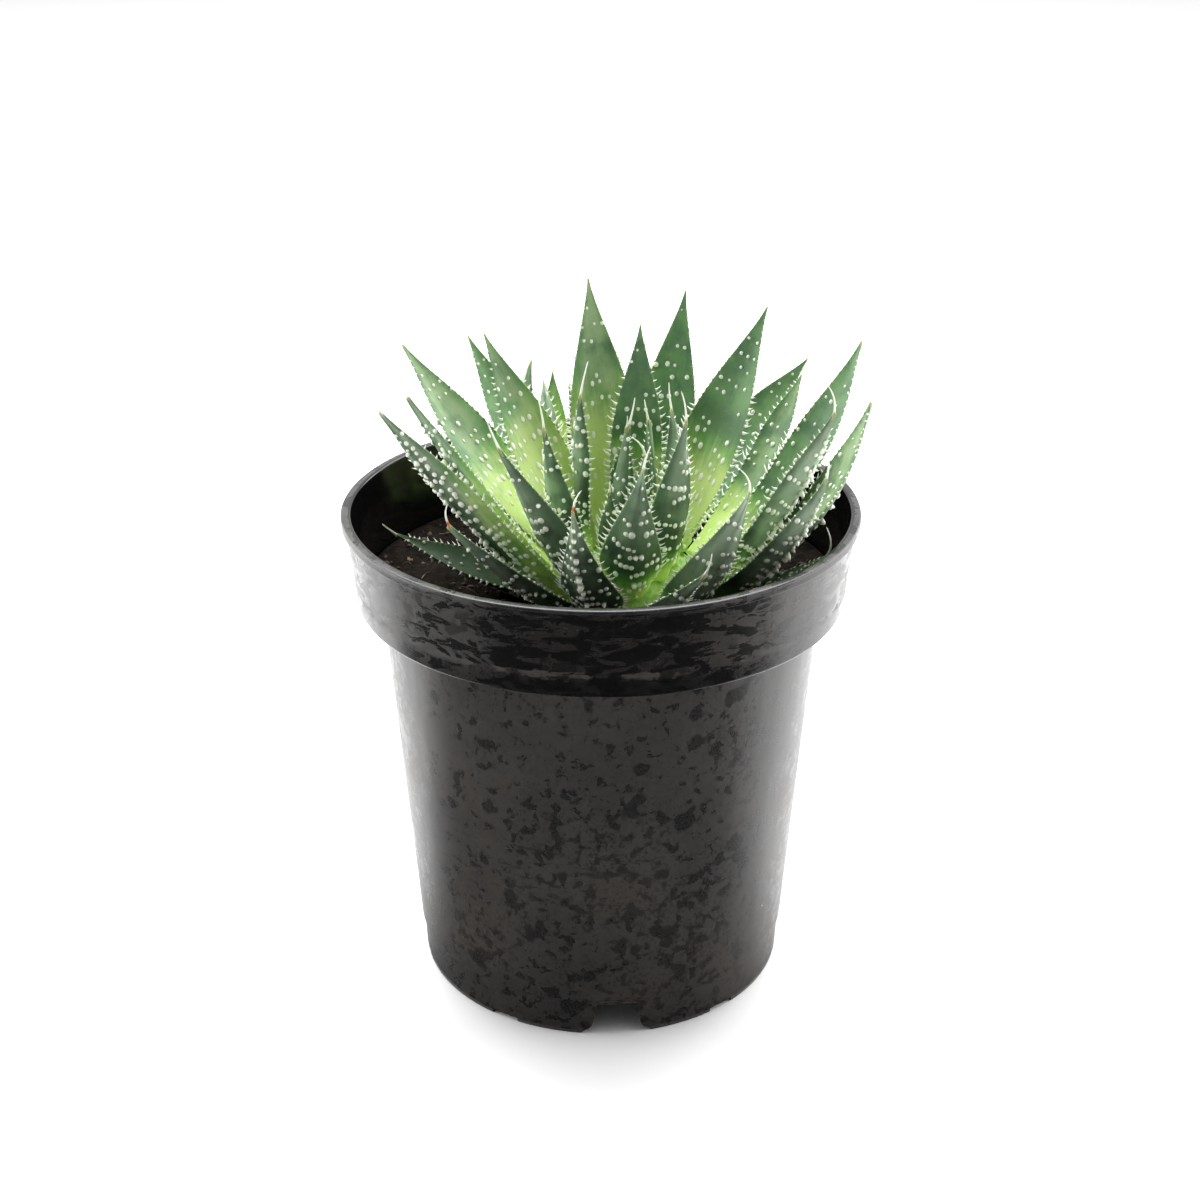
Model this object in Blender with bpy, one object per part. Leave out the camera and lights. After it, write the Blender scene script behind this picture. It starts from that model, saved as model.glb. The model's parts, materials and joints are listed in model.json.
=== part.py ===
"""Potted aloe: a lace-leaved rosette with a small offset behind it, in a round nursery pot.

Lengths are metres, and MM turns millimetres into them. The origin is the middle of the pot's foot, on the
ground. +Z is up, and the side of the plant that faces the viewer is -Y.
"""
import math
import random
from collections import namedtuple

import bmesh
import bpy
from mathutils import Matrix, Vector

MM = 0.001
CONTACT_GAP = 0.3 * MM

# Pot: a nursery pot, 12 cm across the lip
POT_SIDES = 48
POT_HEIGHT = 117.0 * MM
WALL = 1.3 * MM
LIP_RADIUS = 60.0 * MM
LIP_HEIGHT = 2.0 * MM
COLLAR_TOP_RADIUS = 58.9 * MM
COLLAR_FOOT_RADIUS = 57.2 * MM
COLLAR_FOOT_Z = 95.6 * MM
STEP_RISE = 1.4 * MM
BODY_TOP_RADIUS = 51.4 * MM
BODY_FOOT_RADIUS = 45.2 * MM
FOOT_LINE_Z = 10.0 * MM
FOOT_INSET = 0.5 * MM
FOOT_RADIUS = 44.2 * MM
FOOT_WALL = 1.8 * MM
FLOOR_Z = 9.2 * MM

# Drain gaps through the foot, with a low step in the foot to either side of each
DRAIN_GAPS = 3
FIRST_GAP_ANGLE = math.radians(-85.3)
GAP_WIDTH = 11.4 * MM
GAP_HEIGHT = 8.6 * MM
GAP_FLARE = 2.6 * MM
GAP_CORNER = 1.2 * MM
GAP_FLARE_TOP_Z = 2.8 * MM
STEP_ANGLE = math.radians(36.0)
STEP_WIDTH = 7.0 * MM
STEP_HEIGHT = 1.1 * MM
FLOOR_HOLE_RADIUS = 3.5 * MM
FLOOR_HOLE_RING = 30.0 * MM
CUTTER_ROOM = 2.0 * MM

# Soil: fills the pot to 18 mm under the lip
SOIL_SIDES = 32
SOIL_TOP_Z = 98.4 * MM
SOIL_DIP = 0.9 * MM
SOIL_SEED = 5
SOIL_RING_SHARES = (0.97, 0.86, 0.74, 0.64, 0.56, 0.47, 0.37, 0.2)
HOLLOW_RADIUS = 32.0 * MM
HOLLOW_SLOPE = 9.6 * MM
HOLLOW_DEPTH = 4.0 * MM

# Leaf form, as shares of a leaf's length, width or thickness; a leaf's taper is TAPER_WIDTHS times its width
# long, and starts no lower than TAPER_FROM_LEAST
LENGTH_TO_REACH = 1.04
NECK_SHARE = 0.32
WIDEST_AT = 0.36
TAPER_WIDTHS = 2.15
TAPER_FROM_LEAST = 0.16
TAPER_POWER = 1.9
TIP_POWER = 1.35
TIP_WIDTH = 0.8 * MM
TIP_THICKNESS = 0.8 * MM
CHANNEL_SHARE = 0.10
BACK_LINE_SHARE = 0.27
BACK_DEPTH_SHARE = 0.88
USUAL_BOW = 0.40

# Teeth along both edges of a leaf: points raised out of the edge that lean towards the leaf's tip
FIRST_TOOTH_AT = 0.16
LAST_TOOTH_AT = 0.95
FEWEST_TEETH = 5
TOOTH_PITCH = 5.7 * MM
TOOTH_LENGTH = 1.5 * MM
TOOTH_ROOT = 1.3 * MM
TOOTH_LEAN = 0.8 * MM
TOOTH_LIFT = 0.5 * MM
TOOTH_SIZES = (0.80, 1.15)
END_TOOTH_SIZE = 0.65

# Tubercles: low points in rows across a leaf's back and single ones on its inner face
TUBERCLE_RADIUS = 0.85 * MM
TUBERCLE_HEIGHT = 0.75 * MM
TUBERCLE_ROOT = 0.45 * MM
TUBERCLE_PITCH = 1.9 * MM
TUBERCLE_SIZES = (0.85, 1.10)
ROW_REACH = 0.95
ROW_SHIFT = 0.015
BACK_ROWS = ((0.22, 3), (0.34, 2), (0.46, 3), (0.58, 2), (0.70, 1))
FACE_SPOTS = ((0.32, -0.45), (0.45, 0.40), (0.60, -0.30), (0.74, 0.15))

Crown = namedtuple("Crown", "name x y seat radius height root_radius root_depth")
Leaf = namedtuple("Leaf", "name crown rise turn twist tip width thickness awn bow", defaults=(USUAL_BOW,))

MAIN = Crown("crown_main", 7.0, -1.0, 95.2, 18.5, 11.0, 8.0, 9.0)
OFFSET = Crown("crown_offset", -12.0, 40.0, 99.8, 5.0, 4.0, 3.0, 7.0)

# Each leaf, in millimetres and degrees: its name, its crown, how far its root lies from the crown's top
# (rise) and in which direction (turn, 0 is +X and -90 is the front), how far its face turns on the way up
# (twist), where its green tip is, then its width, thickness and awn. A last number, the bow, stands where it
# isn't the usual one: how far the leaf heads straight out from the crown, as a share of its reach
LEAVES = (
    Leaf("leaf_heart_left", MAIN, 10, 205, 0, (6.5, -3.5, 137), 6.5, 2.0, 6),
    Leaf("leaf_heart_right", MAIN, 12, 20, 0, (10.5, 0.5, 137), 6.0, 2.0, 5),
    Leaf("leaf_heart_front", MAIN, 18, 275, 0, (10.0, -7.0, 131), 7.0, 2.2, 7),
    Leaf("leaf_heart_back", MAIN, 16, 120, 0, (6, 4, 134), 7.0, 2.0, 3),
    Leaf("leaf_heart_side", MAIN, 26, 240, 0, (2, -13, 125), 8.0, 2.2, 3),
    Leaf("leaf_back_inner", MAIN, 24, 85, 10, (9, 12, 156), 12.0, 2.6, 2),
    Leaf("leaf_left_upright", MAIN, 28, 165, 60, (-4.5, -3, 144), 8.0, 2.4, 8),
    Leaf("leaf_right_slim", MAIN, 30, 330, -30, (15.5, -9, 143), 8.5, 2.4, 10),
    Leaf("leaf_back_tall", MAIN, 38, 108, -10, (-3, 19, 165), 16, 3.0, 2),
    Leaf("leaf_back_right", MAIN, 50, 74, 10, (20, 30, 159), 14.5, 3.0, 2),
    Leaf("leaf_right_bright", MAIN, 38, 32, 35, (38, 13, 160), 17.0, 3.2, 2),
    Leaf("leaf_left_wide", MAIN, 46, 148, -35, (-27, 15, 153), 15.5, 3.0, 2),
    Leaf("leaf_left_dark", MAIN, 42, 208, 25, (-12.5, -11, 139), 11.0, 2.6, 8),
    Leaf("leaf_front_slim", MAIN, 38, 300, 0, (18.5, -17, 143), 10.5, 2.6, 9),
    Leaf("leaf_front_left", MAIN, 58, 234, 0, (-22, -23, 139), 13.5, 3.0, 8),
    Leaf("leaf_front_right", MAIN, 72, 298.5, -22, (32, -31, 132), 14, 3.0, 6, 0.45),
    Leaf("leaf_front_middle", MAIN, 52, 268, 0, (9, -30, 137), 15, 3.2, 9),
    Leaf("leaf_left_high", MAIN, 62, 156, -25, (-46, 15, 150.5), 15.0, 3.0, 2),
    Leaf("leaf_left_behind", MAIN, 66, 129, -15, (-32, 33, 147), 13.5, 2.8, 2),
    Leaf("leaf_right_high", MAIN, 66, 6, 40, (59, 6, 154), 14.5, 3.0, 2, 0.45),
    Leaf("leaf_right_behind", MAIN, 67, 56, 20, (50, 34, 141), 11.5, 2.8, 2, 0.48),
    Leaf("leaf_right_awned", MAIN, 64, 338, -40, (51, -16.5, 145), 11.5, 3.0, 7, 0.50),
    Leaf("leaf_back_low", MAIN, 70, 92, 0, (9, 47, 139), 13.0, 2.8, 2),
    Leaf("leaf_left_keeled", MAIN, 62, 190, 30, (-43, -6, 145), 12.5, 3.0, 2),
    Leaf("leaf_left_long", MAIN, 67, 212, 35, (-48, -19, 146), 14.0, 3.2, 2),
    Leaf("leaf_front_low", MAIN, 74, 249, 0, (-6, -38, 130.5), 15.5, 3.0, 6),
    Leaf("leaf_left_awned", MAIN, 78, 228, 0, (-33, -30, 124), 11.0, 2.6, 6),
    Leaf("leaf_left_under", MAIN, 76, 166, -10, (-47, 12, 129), 11.0, 2.6, 2),
    Leaf("leaf_left_lowest", MAIN, 80, 193, -55, (-46, -14, 115), 15, 2.6, 7),
    Leaf("leaf_right_side", MAIN, 65, 31, 25, (47.5, 23, 140.5), 7.5, 2.6, 2, 0.48),
    Leaf("leaf_right_edge", MAIN, 75, 351, 35, (60, -7, 144), 12.5, 2.8, 3, 0.52),
    Leaf("leaf_right_front", MAIN, 74, 325.5, -25, (48.5, -28, 134), 12, 3.0, 8, 0.55),
    Leaf("leaf_front_small", MAIN, 80, 279, 10, (22, -42, 117.5), 8.5, 2.2, 6),
    Leaf("leaf_right_lowest", MAIN, 83, 338, 0, (50.5, -19, 112), 7, 2.4, 3, 0.43),
    Leaf("leaf_back_right_low", MAIN, 78, 32, 0, (47, 27, 119), 12.0, 2.6, 3),
    Leaf("leaf_back_lowest", MAIN, 80, 71, 0, (26, 48, 122), 12.0, 2.6, 3),
    Leaf("leaf_back_outer", MAIN, 79, 145, 0, (-45, 27, 117), 11, 2.6, 3),
    Leaf("offset_leaf_left", OFFSET, 40, 180, 70, (-17, 38, 139.5), 5.0, 2.0, 1),
    Leaf("offset_leaf_front", OFFSET, 40, 270, 0, (-14, 33, 136), 5.0, 2.0, 1),
    Leaf("offset_leaf_back", OFFSET, 40, 90, 0, (-12, 42, 135), 7.0, 2.2, 1),
    Leaf("offset_leaf_right", OFFSET, 40, 0, -70, (-8, 38, 133), 5.0, 2.0, 1),
)

UP = Vector((0.0, 0.0, 1.0))


def make_material(name, color, roughness, metallic=0.0):
    """A plain Principled material with the piece's own colour."""
    material = bpy.data.materials.new(name)
    material.use_nodes = True
    shader = material.node_tree.nodes["Principled BSDF"]
    shader.inputs["Base Color"].default_value = (*color, 1.0)
    shader.inputs["Roughness"].default_value = roughness
    shader.inputs["Metallic"].default_value = metallic
    return material


def link_object(name, mesh, material=None, collection=None):
    """Put a mesh into the scene under a name."""
    obj = bpy.data.objects.new(name, mesh)
    (collection or bpy.context.scene.collection).objects.link(obj)
    if material is not None:
        mesh.materials.append(material)
    return obj


def finish_mesh(bm, name):
    """Turn an edit mesh into a mesh whose faces point out."""
    bmesh.ops.recalc_face_normals(bm, faces=bm.faces)
    mesh = bpy.data.meshes.new(name)
    bm.to_mesh(mesh)
    bm.free()
    return mesh


def lathe(profile, sides):
    """Turn a profile of (radius, height) points round Z; its two ends lie on the axis."""
    bm = bmesh.new()
    rings = []
    for radius, z in profile:
        if radius == 0.0:
            rings.append([bm.verts.new((0.0, 0.0, z))])
            continue
        ring = []
        for index in range(sides):
            angle = 2.0 * math.pi * index / sides
            ring.append(bm.verts.new((radius * math.cos(angle), radius * math.sin(angle), z)))
        rings.append(ring)
    for lower, upper in zip(rings, rings[1:]):
        for index in range(sides):
            after = (index + 1) % sides
            if len(lower) == 1:
                bm.faces.new((lower[0], upper[after], upper[index]))
            elif len(upper) == 1:
                bm.faces.new((lower[index], lower[after], upper[0]))
            else:
                bm.faces.new((lower[index], lower[after], upper[after], upper[index]))
    return bm


def apply_boolean(obj, cutters, operation):
    """Join or cut a piece with every object of a collection, then remove the collection."""
    modifier = obj.modifiers.new(operation.title(), "BOOLEAN")
    modifier.operation = operation
    modifier.operand_type = "COLLECTION"
    modifier.collection = cutters
    modifier.solver = "EXACT"
    graph = bpy.context.evaluated_depsgraph_get()
    result = bpy.data.meshes.new_from_object(obj.evaluated_get(graph))
    obj.modifiers.clear()
    obj.data = result
    for cutter in list(cutters.objects):
        bpy.data.objects.remove(cutter)
    bpy.data.collections.remove(cutters)


def new_cutters(name):
    """A collection for the objects that one Boolean joins or cuts."""
    cutters = bpy.data.collections.new(name)
    bpy.context.scene.collection.children.link(cutters)
    return cutters


def add_cutter(cutters, mesh):
    """Put one hidden helper object into a collection."""
    cutter = link_object(mesh.name, mesh, collection=cutters)
    cutter.hide_render = True
    cutter.display_type = "WIRE"


def extrude_outline(name, outline, depth):
    """A prism from an outline of (across, up) points, from the axis out along +X."""
    bm = bmesh.new()
    near, far = depth
    face = bm.faces.new([bm.verts.new((near, across, up)) for across, up in outline])
    moved = bmesh.ops.extrude_face_region(bm, geom=[face])["geom"]
    corners = [item for item in moved if isinstance(item, bmesh.types.BMVert)]
    bmesh.ops.translate(bm, verts=corners, vec=(far - near, 0.0, 0.0))
    return finish_mesh(bm, name)


def pot_profile():
    """The pot's section, from the middle of the floor's underside out, up and back in to its middle."""
    inner_lip = COLLAR_TOP_RADIUS - WALL
    return (
        (0.0, FLOOR_Z),
        (FOOT_RADIUS - FOOT_WALL, FLOOR_Z),
        (FOOT_RADIUS - FOOT_WALL, 0.0),
        (FOOT_RADIUS, 0.0),
        (BODY_FOOT_RADIUS - FOOT_INSET, FOOT_LINE_Z - 0.4 * MM),
        (BODY_FOOT_RADIUS, FOOT_LINE_Z),
        (BODY_TOP_RADIUS, COLLAR_FOOT_Z - STEP_RISE),
        (BODY_TOP_RADIUS + 0.6 * MM, COLLAR_FOOT_Z),
        (COLLAR_FOOT_RADIUS - 0.6 * MM, COLLAR_FOOT_Z),
        (COLLAR_FOOT_RADIUS, COLLAR_FOOT_Z + 0.6 * MM),
        (COLLAR_TOP_RADIUS, POT_HEIGHT - LIP_HEIGHT),
        (LIP_RADIUS, POT_HEIGHT - LIP_HEIGHT),
        (LIP_RADIUS, POT_HEIGHT - 0.5 * MM),
        (LIP_RADIUS - 0.6 * MM, POT_HEIGHT),
        (inner_lip + 0.3 * MM, POT_HEIGHT),
        (inner_lip, POT_HEIGHT - 0.6 * MM),
        (COLLAR_FOOT_RADIUS - WALL, COLLAR_FOOT_Z + WALL),
        (BODY_TOP_RADIUS - WALL, COLLAR_FOOT_Z + WALL),
        (BODY_FOOT_RADIUS - WALL, FLOOR_Z + WALL),
        (0.0, FLOOR_Z + WALL),
    )


def build_pot(material):
    """The pot: one turned shell, with drain gaps, low steps in its foot and holes in its floor."""
    pot = link_object("pot", finish_mesh(lathe(pot_profile(), POT_SIDES), "pot"), material)
    below = -CUTTER_ROOM
    half_gap = GAP_WIDTH / 2.0
    gap_outline = (
        (-half_gap - GAP_FLARE, below),
        (half_gap + GAP_FLARE, below),
        (half_gap + GAP_FLARE / 2.0, GAP_FLARE_TOP_Z / 3.0),
        (half_gap, GAP_FLARE_TOP_Z),
        (half_gap - GAP_CORNER, GAP_HEIGHT),
        (GAP_CORNER - half_gap, GAP_HEIGHT),
        (-half_gap, GAP_FLARE_TOP_Z),
        (-half_gap - GAP_FLARE / 2.0, GAP_FLARE_TOP_Z / 3.0),
    )
    half_step = STEP_WIDTH / 2.0
    step_outline = (
        (-half_step, below),
        (half_step, below),
        (half_step, STEP_HEIGHT),
        (-half_step, STEP_HEIGHT),
    )
    through_foot = (FOOT_RADIUS - FOOT_WALL - CUTTER_ROOM, FOOT_RADIUS + CUTTER_ROOM)
    cutters = new_cutters("pot cutters")
    pitch = 2.0 * math.pi / DRAIN_GAPS
    for index in range(DRAIN_GAPS):
        angle = FIRST_GAP_ANGLE + pitch * index
        gap = extrude_outline("drain gap", gap_outline, through_foot)
        gap.transform(Matrix.Rotation(angle, 4, "Z"))
        add_cutter(cutters, gap)
        for step_angle in (angle - STEP_ANGLE, angle + STEP_ANGLE):
            step = extrude_outline("foot step", step_outline, through_foot)
            step.transform(Matrix.Rotation(step_angle, 4, "Z"))
            add_cutter(cutters, step)
        hole_bm = bmesh.new()
        bmesh.ops.create_cone(
            hole_bm, cap_ends=True, segments=12, radius1=FLOOR_HOLE_RADIUS, radius2=FLOOR_HOLE_RADIUS,
            depth=4.0 * WALL, matrix=Matrix.Rotation(angle, 4, "Z")
            @ Matrix.Translation((FLOOR_HOLE_RING, 0.0, FLOOR_Z + WALL / 2.0)))
        add_cutter(cutters, finish_mesh(hole_bm, "floor hole"))
    apply_boolean(pot, cutters, "DIFFERENCE")
    pot.data.shade_smooth()
    pot.data.set_sharp_from_angle(angle=math.radians(30.0))
    return pot


def soil_profile():
    """The soil's section, CONTACT_GAP inside the pot's wall and over its floor."""
    step_z = COLLAR_FOOT_Z + WALL + CONTACT_GAP
    body_top = BODY_TOP_RADIUS - WALL - CONTACT_GAP
    body_foot = BODY_FOOT_RADIUS - WALL - CONTACT_GAP
    collar = COLLAR_FOOT_RADIUS - WALL - CONTACT_GAP
    rings = [(collar * share, SOIL_TOP_Z) for share in SOIL_RING_SHARES]
    return (
        (0.0, FLOOR_Z + WALL + CONTACT_GAP),
        (body_foot, FLOOR_Z + WALL + CONTACT_GAP),
        (body_top, step_z),
        (collar, step_z),
        (collar, SOIL_TOP_Z - SOIL_DIP),
        *rings,
        (0.0, SOIL_TOP_Z),
    )


def build_soil(material):
    """The soil: a lumpy fill, hollowed round the rosette, with a socket for the root of each crown."""
    draw = random.Random(SOIL_SEED)
    bm = lathe(soil_profile(), SOIL_SIDES)
    for vert in bm.verts:
        if vert.co.z < SOIL_TOP_Z - SOIL_DIP / 2.0:
            continue
        away = math.hypot(vert.co.x - MAIN.x * MM, vert.co.y - MAIN.y * MM)
        sunk = min(max((HOLLOW_RADIUS - away) / HOLLOW_SLOPE, 0.0), 1.0)
        vert.co.z -= HOLLOW_DEPTH * sunk + SOIL_DIP * (1.0 - sunk) * draw.random()
    soil = link_object("soil", finish_mesh(bm, "soil"), material)
    sockets = new_cutters("crown sockets")
    for crown in (MAIN, OFFSET):
        radius = crown.root_radius * MM + CONTACT_GAP
        depth = 2.0 * (crown.root_depth * MM + CONTACT_GAP)
        socket = bmesh.new()
        bmesh.ops.create_cone(
            socket, cap_ends=True, segments=16, radius1=radius, radius2=radius, depth=depth,
            matrix=Matrix.Translation((crown.x * MM, crown.y * MM, crown.seat * MM)))
        add_cutter(sockets, finish_mesh(socket, "crown socket"))
    apply_boolean(soil, sockets, "DIFFERENCE")
    return soil


def build_crown(crown, material):
    """A crown: the short domed stem that the leaves grow from, with its root in the soil."""
    seat_z = crown.seat * MM
    root = crown.root_radius * MM
    root_z = seat_z - crown.root_depth * MM
    profile = [(0.0, root_z), (root, root_z), (root, seat_z)]
    for degrees in (90.0, 75.0, 60.0, 45.0, 30.0, 15.0, 0.0):
        angle = math.radians(degrees)
        radius = crown.radius * MM * math.sin(angle) if degrees else 0.0
        profile.append((radius, seat_z + crown.height * MM * math.cos(angle)))
    obj = link_object(crown.name, finish_mesh(lathe(profile, 16), crown.name), material)
    obj.location = (crown.x * MM, crown.y * MM, 0.0)
    return obj


def crown_seat(crown, rise, turn):
    """The point on a crown's dome for a leaf's root, and the direction straight out of it there."""
    rise = math.radians(rise)
    turn = math.radians(turn)
    level = Vector((math.cos(turn), math.sin(turn), 0.0))
    radius = crown.radius * MM
    height = crown.height * MM
    middle = Vector((crown.x * MM, crown.y * MM, crown.seat * MM))
    point = middle + level * radius * math.sin(rise) + UP * height * math.cos(rise)
    outward = (level * math.sin(rise) / radius + UP * math.cos(rise) / height).normalized()
    return point, outward


class LeafForm:
    """A leaf's middle line, its widths and the two skins that a station along it has."""

    def __init__(self, leaf):
        self.leaf = leaf
        seat, outward = crown_seat(leaf.crown, leaf.rise, leaf.turn)
        self.start = seat + outward * CONTACT_GAP * 1.5
        self.end = Vector(leaf.tip) * MM
        reach = (self.end - self.start).length
        self.bend = self.start + outward * reach * leaf.bow
        self.width = leaf.width * MM
        self.thickness = leaf.thickness * MM
        self.length = reach * LENGTH_TO_REACH

    def axes(self, along):
        """Middle point, forward direction, sideways direction and inner normal at a share of the length."""
        back = 1.0 - along
        point = self.start * back ** 2 + self.bend * 2.0 * back * along + self.end * along ** 2
        forward = ((self.bend - self.start) * back + (self.end - self.bend) * along).normalized()
        turn = math.radians(self.leaf.turn + self.leaf.twist * along)
        level = Vector((-math.sin(turn), math.cos(turn), 0.0))
        side = (level - forward * level.dot(forward)).normalized()
        return point, forward, side, forward.cross(side)

    def half_width(self, along):
        """Half of the blade's width: a narrow neck, then wide, then a taper to the tip."""
        grow = min(along / WIDEST_AT, 1.0)
        grow = NECK_SHARE + (1.0 - NECK_SHARE) * grow * grow * (3.0 - 2.0 * grow)
        taper_from = max(1.0 - TAPER_WIDTHS * self.width / self.length, TAPER_FROM_LEAST)
        fall = max(along - taper_from, 0.0) / (1.0 - taper_from)
        taper = (1.0 - fall ** TAPER_POWER) ** TIP_POWER
        return 0.5 * (TIP_WIDTH + (self.width - TIP_WIDTH) * grow * taper)

    def depth(self, along):
        """The blade's thickness at its middle."""
        return self.thickness + (TIP_THICKNESS - self.thickness) * along

    def section(self, along):
        """Left edge, inner middle, right edge, and the right and left lines of the back."""
        point, _, side, inner = self.axes(along)
        half = self.half_width(along)
        rise = inner * CHANNEL_SHARE * 2.0 * half
        back = inner * BACK_DEPTH_SHARE * self.depth(along)
        line = side * BACK_LINE_SHARE * 2.0 * half
        return (point - side * half + rise, point, point + side * half + rise,
                point + line - back, point - line - back)

    def skin(self, along, across, on_back, stations):
        """A point on the faceted skin; across runs from -1 to 1 between the two edges or back lines."""
        after = next(index for index, station in enumerate(stations) if station > along)
        low, high = stations[after - 1], stations[after]
        share = (along - low) / (high - low)
        mixed = [a.lerp(b, share) for a, b in zip(self.section(low), self.section(high))]
        left, middle, right, back_right, back_left = mixed
        if on_back:
            return back_left.lerp(back_right, (across + 1.0) / 2.0)
        return middle.lerp(right if across > 0.0 else left, abs(across))


def leaf_stations(form):
    """Shares of the length at which the blade has a section: the neck, then one for each pair of teeth."""
    toothed = LAST_TOOTH_AT - FIRST_TOOTH_AT
    teeth = max(FEWEST_TEETH, round(form.length * toothed / TOOTH_PITCH))
    return [0.0] + [FIRST_TOOTH_AT + toothed * index / (teeth - 1) for index in range(teeth)] + [1.0]


def leaf_blade(form, stations, draw):
    """The blade as one closed skin, with a tooth out of each edge at every station but the ends."""
    bm = bmesh.new()
    rows = []
    for along in stations:
        _, forward, side, inner = form.axes(along)
        left, middle, right, back_right, back_left = (bm.verts.new(co) for co in form.section(along))
        edges = {-1: [left], 1: [right]}
        if 0.0 < along < 1.0:
            middle_share = math.sin(math.pi * min(along * 1.3, 1.0))
            size = draw.uniform(*TOOTH_SIZES) * (END_TOOTH_SIZE + (1.0 - END_TOOTH_SIZE) * middle_share)
            for sign, edge in edges.items():
                base = edge[0].co.copy()
                root = forward * TOOTH_ROOT * 0.5
                point = (base + side * sign * TOOTH_LENGTH * size + forward * TOOTH_LEAN * size
                         + inner * TOOTH_LIFT * draw.uniform(-0.4, 1.0))
                edge[0].co = base - root
                edge.append(bm.verts.new(point))
                edge.append(bm.verts.new(base + root))
        rows.append((edges, middle, back_right, back_left))
    for edges, middle, back_right, back_left in rows:
        for sign, edge in edges.items():
            back = back_right if sign > 0 else back_left
            for low, high in zip(edge, edge[1:]):
                bm.faces.new((middle, low, high))
                bm.faces.new((back, high, low))
    for lower, upper in zip(rows, rows[1:]):
        for sign in (-1, 1):
            low = lower[0][sign][-1]
            high = upper[0][sign][0]
            back = 2 if sign > 0 else 3
            for line in (1, back):
                bm.faces.new((lower[line], low, high))
                bm.faces.new((lower[line], high, upper[line]))
        bm.faces.new((lower[2], upper[2], upper[3]))
        bm.faces.new((lower[2], upper[3], lower[3]))
    ends, middle, back_right, back_left = rows[0]
    bm.faces.new((ends[-1][0], middle, ends[1][0], back_right, back_left))
    ends, middle, back_right, back_left = rows[-1]
    point, forward, _, _ = form.axes(1.0)
    awn = bm.verts.new(point + forward * form.leaf.awn * MM)
    loop = (ends[-1][-1], middle, ends[1][-1], back_right, back_left)
    for low, high in zip(loop, loop[1:] + loop[:1]):
        bm.faces.new((low, high, awn))
    return finish_mesh(bm, form.leaf.name)


def leaf_tubercles(form, stations, draw):
    """Low three-sided points, sunk into the skin: rows across the back, single ones on the inner face."""
    bm = bmesh.new()
    places = []
    for along, count in BACK_ROWS:
        room = form.half_width(along) * BACK_LINE_SHARE * 2.0
        fitting = min(count, max(1, int(2.0 * room / TUBERCLE_PITCH) + 1))
        for index in range(fitting):
            across = 0.0 if fitting == 1 else ROW_REACH * (2.0 * index / (fitting - 1) - 1.0)
            places.append((along + draw.uniform(-ROW_SHIFT, ROW_SHIFT), across, True))
    for along, across in FACE_SPOTS:
        places.append((along, across * draw.uniform(0.7, 1.1), False))
    for along, across, on_back in places:
        spot = form.skin(along, across, on_back, stations)
        _, forward, side, inner = form.axes(along)
        outward = -inner if on_back else inner
        size = draw.uniform(*TUBERCLE_SIZES)
        base = spot - outward * TUBERCLE_ROOT
        corners = [bm.verts.new(base + direction * TUBERCLE_RADIUS * size)
                   for direction in (forward, side * 0.87 - forward * 0.5, -side * 0.87 - forward * 0.5)]
        peak = bm.verts.new(spot + outward * TUBERCLE_HEIGHT * size)
        bm.faces.new(corners)
        for low, high in zip(corners, corners[1:] + corners[:1]):
            bm.faces.new((high, low, peak))
    return finish_mesh(bm, "tubercles")


def build_leaf(leaf, seed, material):
    """A leaf: its toothed blade and awn, with the tubercles joined on by one union."""
    draw = random.Random(seed)
    form = LeafForm(leaf)
    stations = leaf_stations(form)
    obj = link_object(leaf.name, leaf_blade(form, stations, draw), material)
    tubercles = new_cutters("tubercles of " + leaf.name)
    add_cutter(tubercles, leaf_tubercles(form, stations, draw))
    apply_boolean(obj, tubercles, "UNION")
    return obj


def main():
    for obj in list(bpy.data.objects):
        bpy.data.objects.remove(obj)
    build_pot(make_material("pot plastic", (0.035, 0.033, 0.033), 0.35))
    build_soil(make_material("peat", (0.045, 0.028, 0.018), 0.95))
    stem_green = make_material("crown green", (0.24, 0.40, 0.10), 0.55)
    for crown in (MAIN, OFFSET):
        build_crown(crown, stem_green)
    leaf_green = make_material("leaf green", (0.10, 0.22, 0.08), 0.45)
    for seed, leaf in enumerate(LEAVES, start=11):
        build_leaf(leaf, seed, leaf_green)


main()
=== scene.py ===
"""Dresses the potted aloe: fine leaves with teeth, tubercles and awns, a smooth pot, peat, floor and light.

Lengths are metres, and MM turns millimetres into them. The origin is the middle of the pot's foot, on the
ground. +Z is up, and the side of the plant that faces the camera is -Y. Along a leaf, 0 is its base and 1
its tip. Across it, -1 and 1 are its edges. Its face is the inner side, and its back the outer one.
"""
import json
import math
import random
from collections import namedtuple

import bmesh
import bpy
from bpy.props import FloatProperty, FloatVectorProperty, IntProperty, PointerProperty
from mathutils import Matrix, Vector, noise

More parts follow.
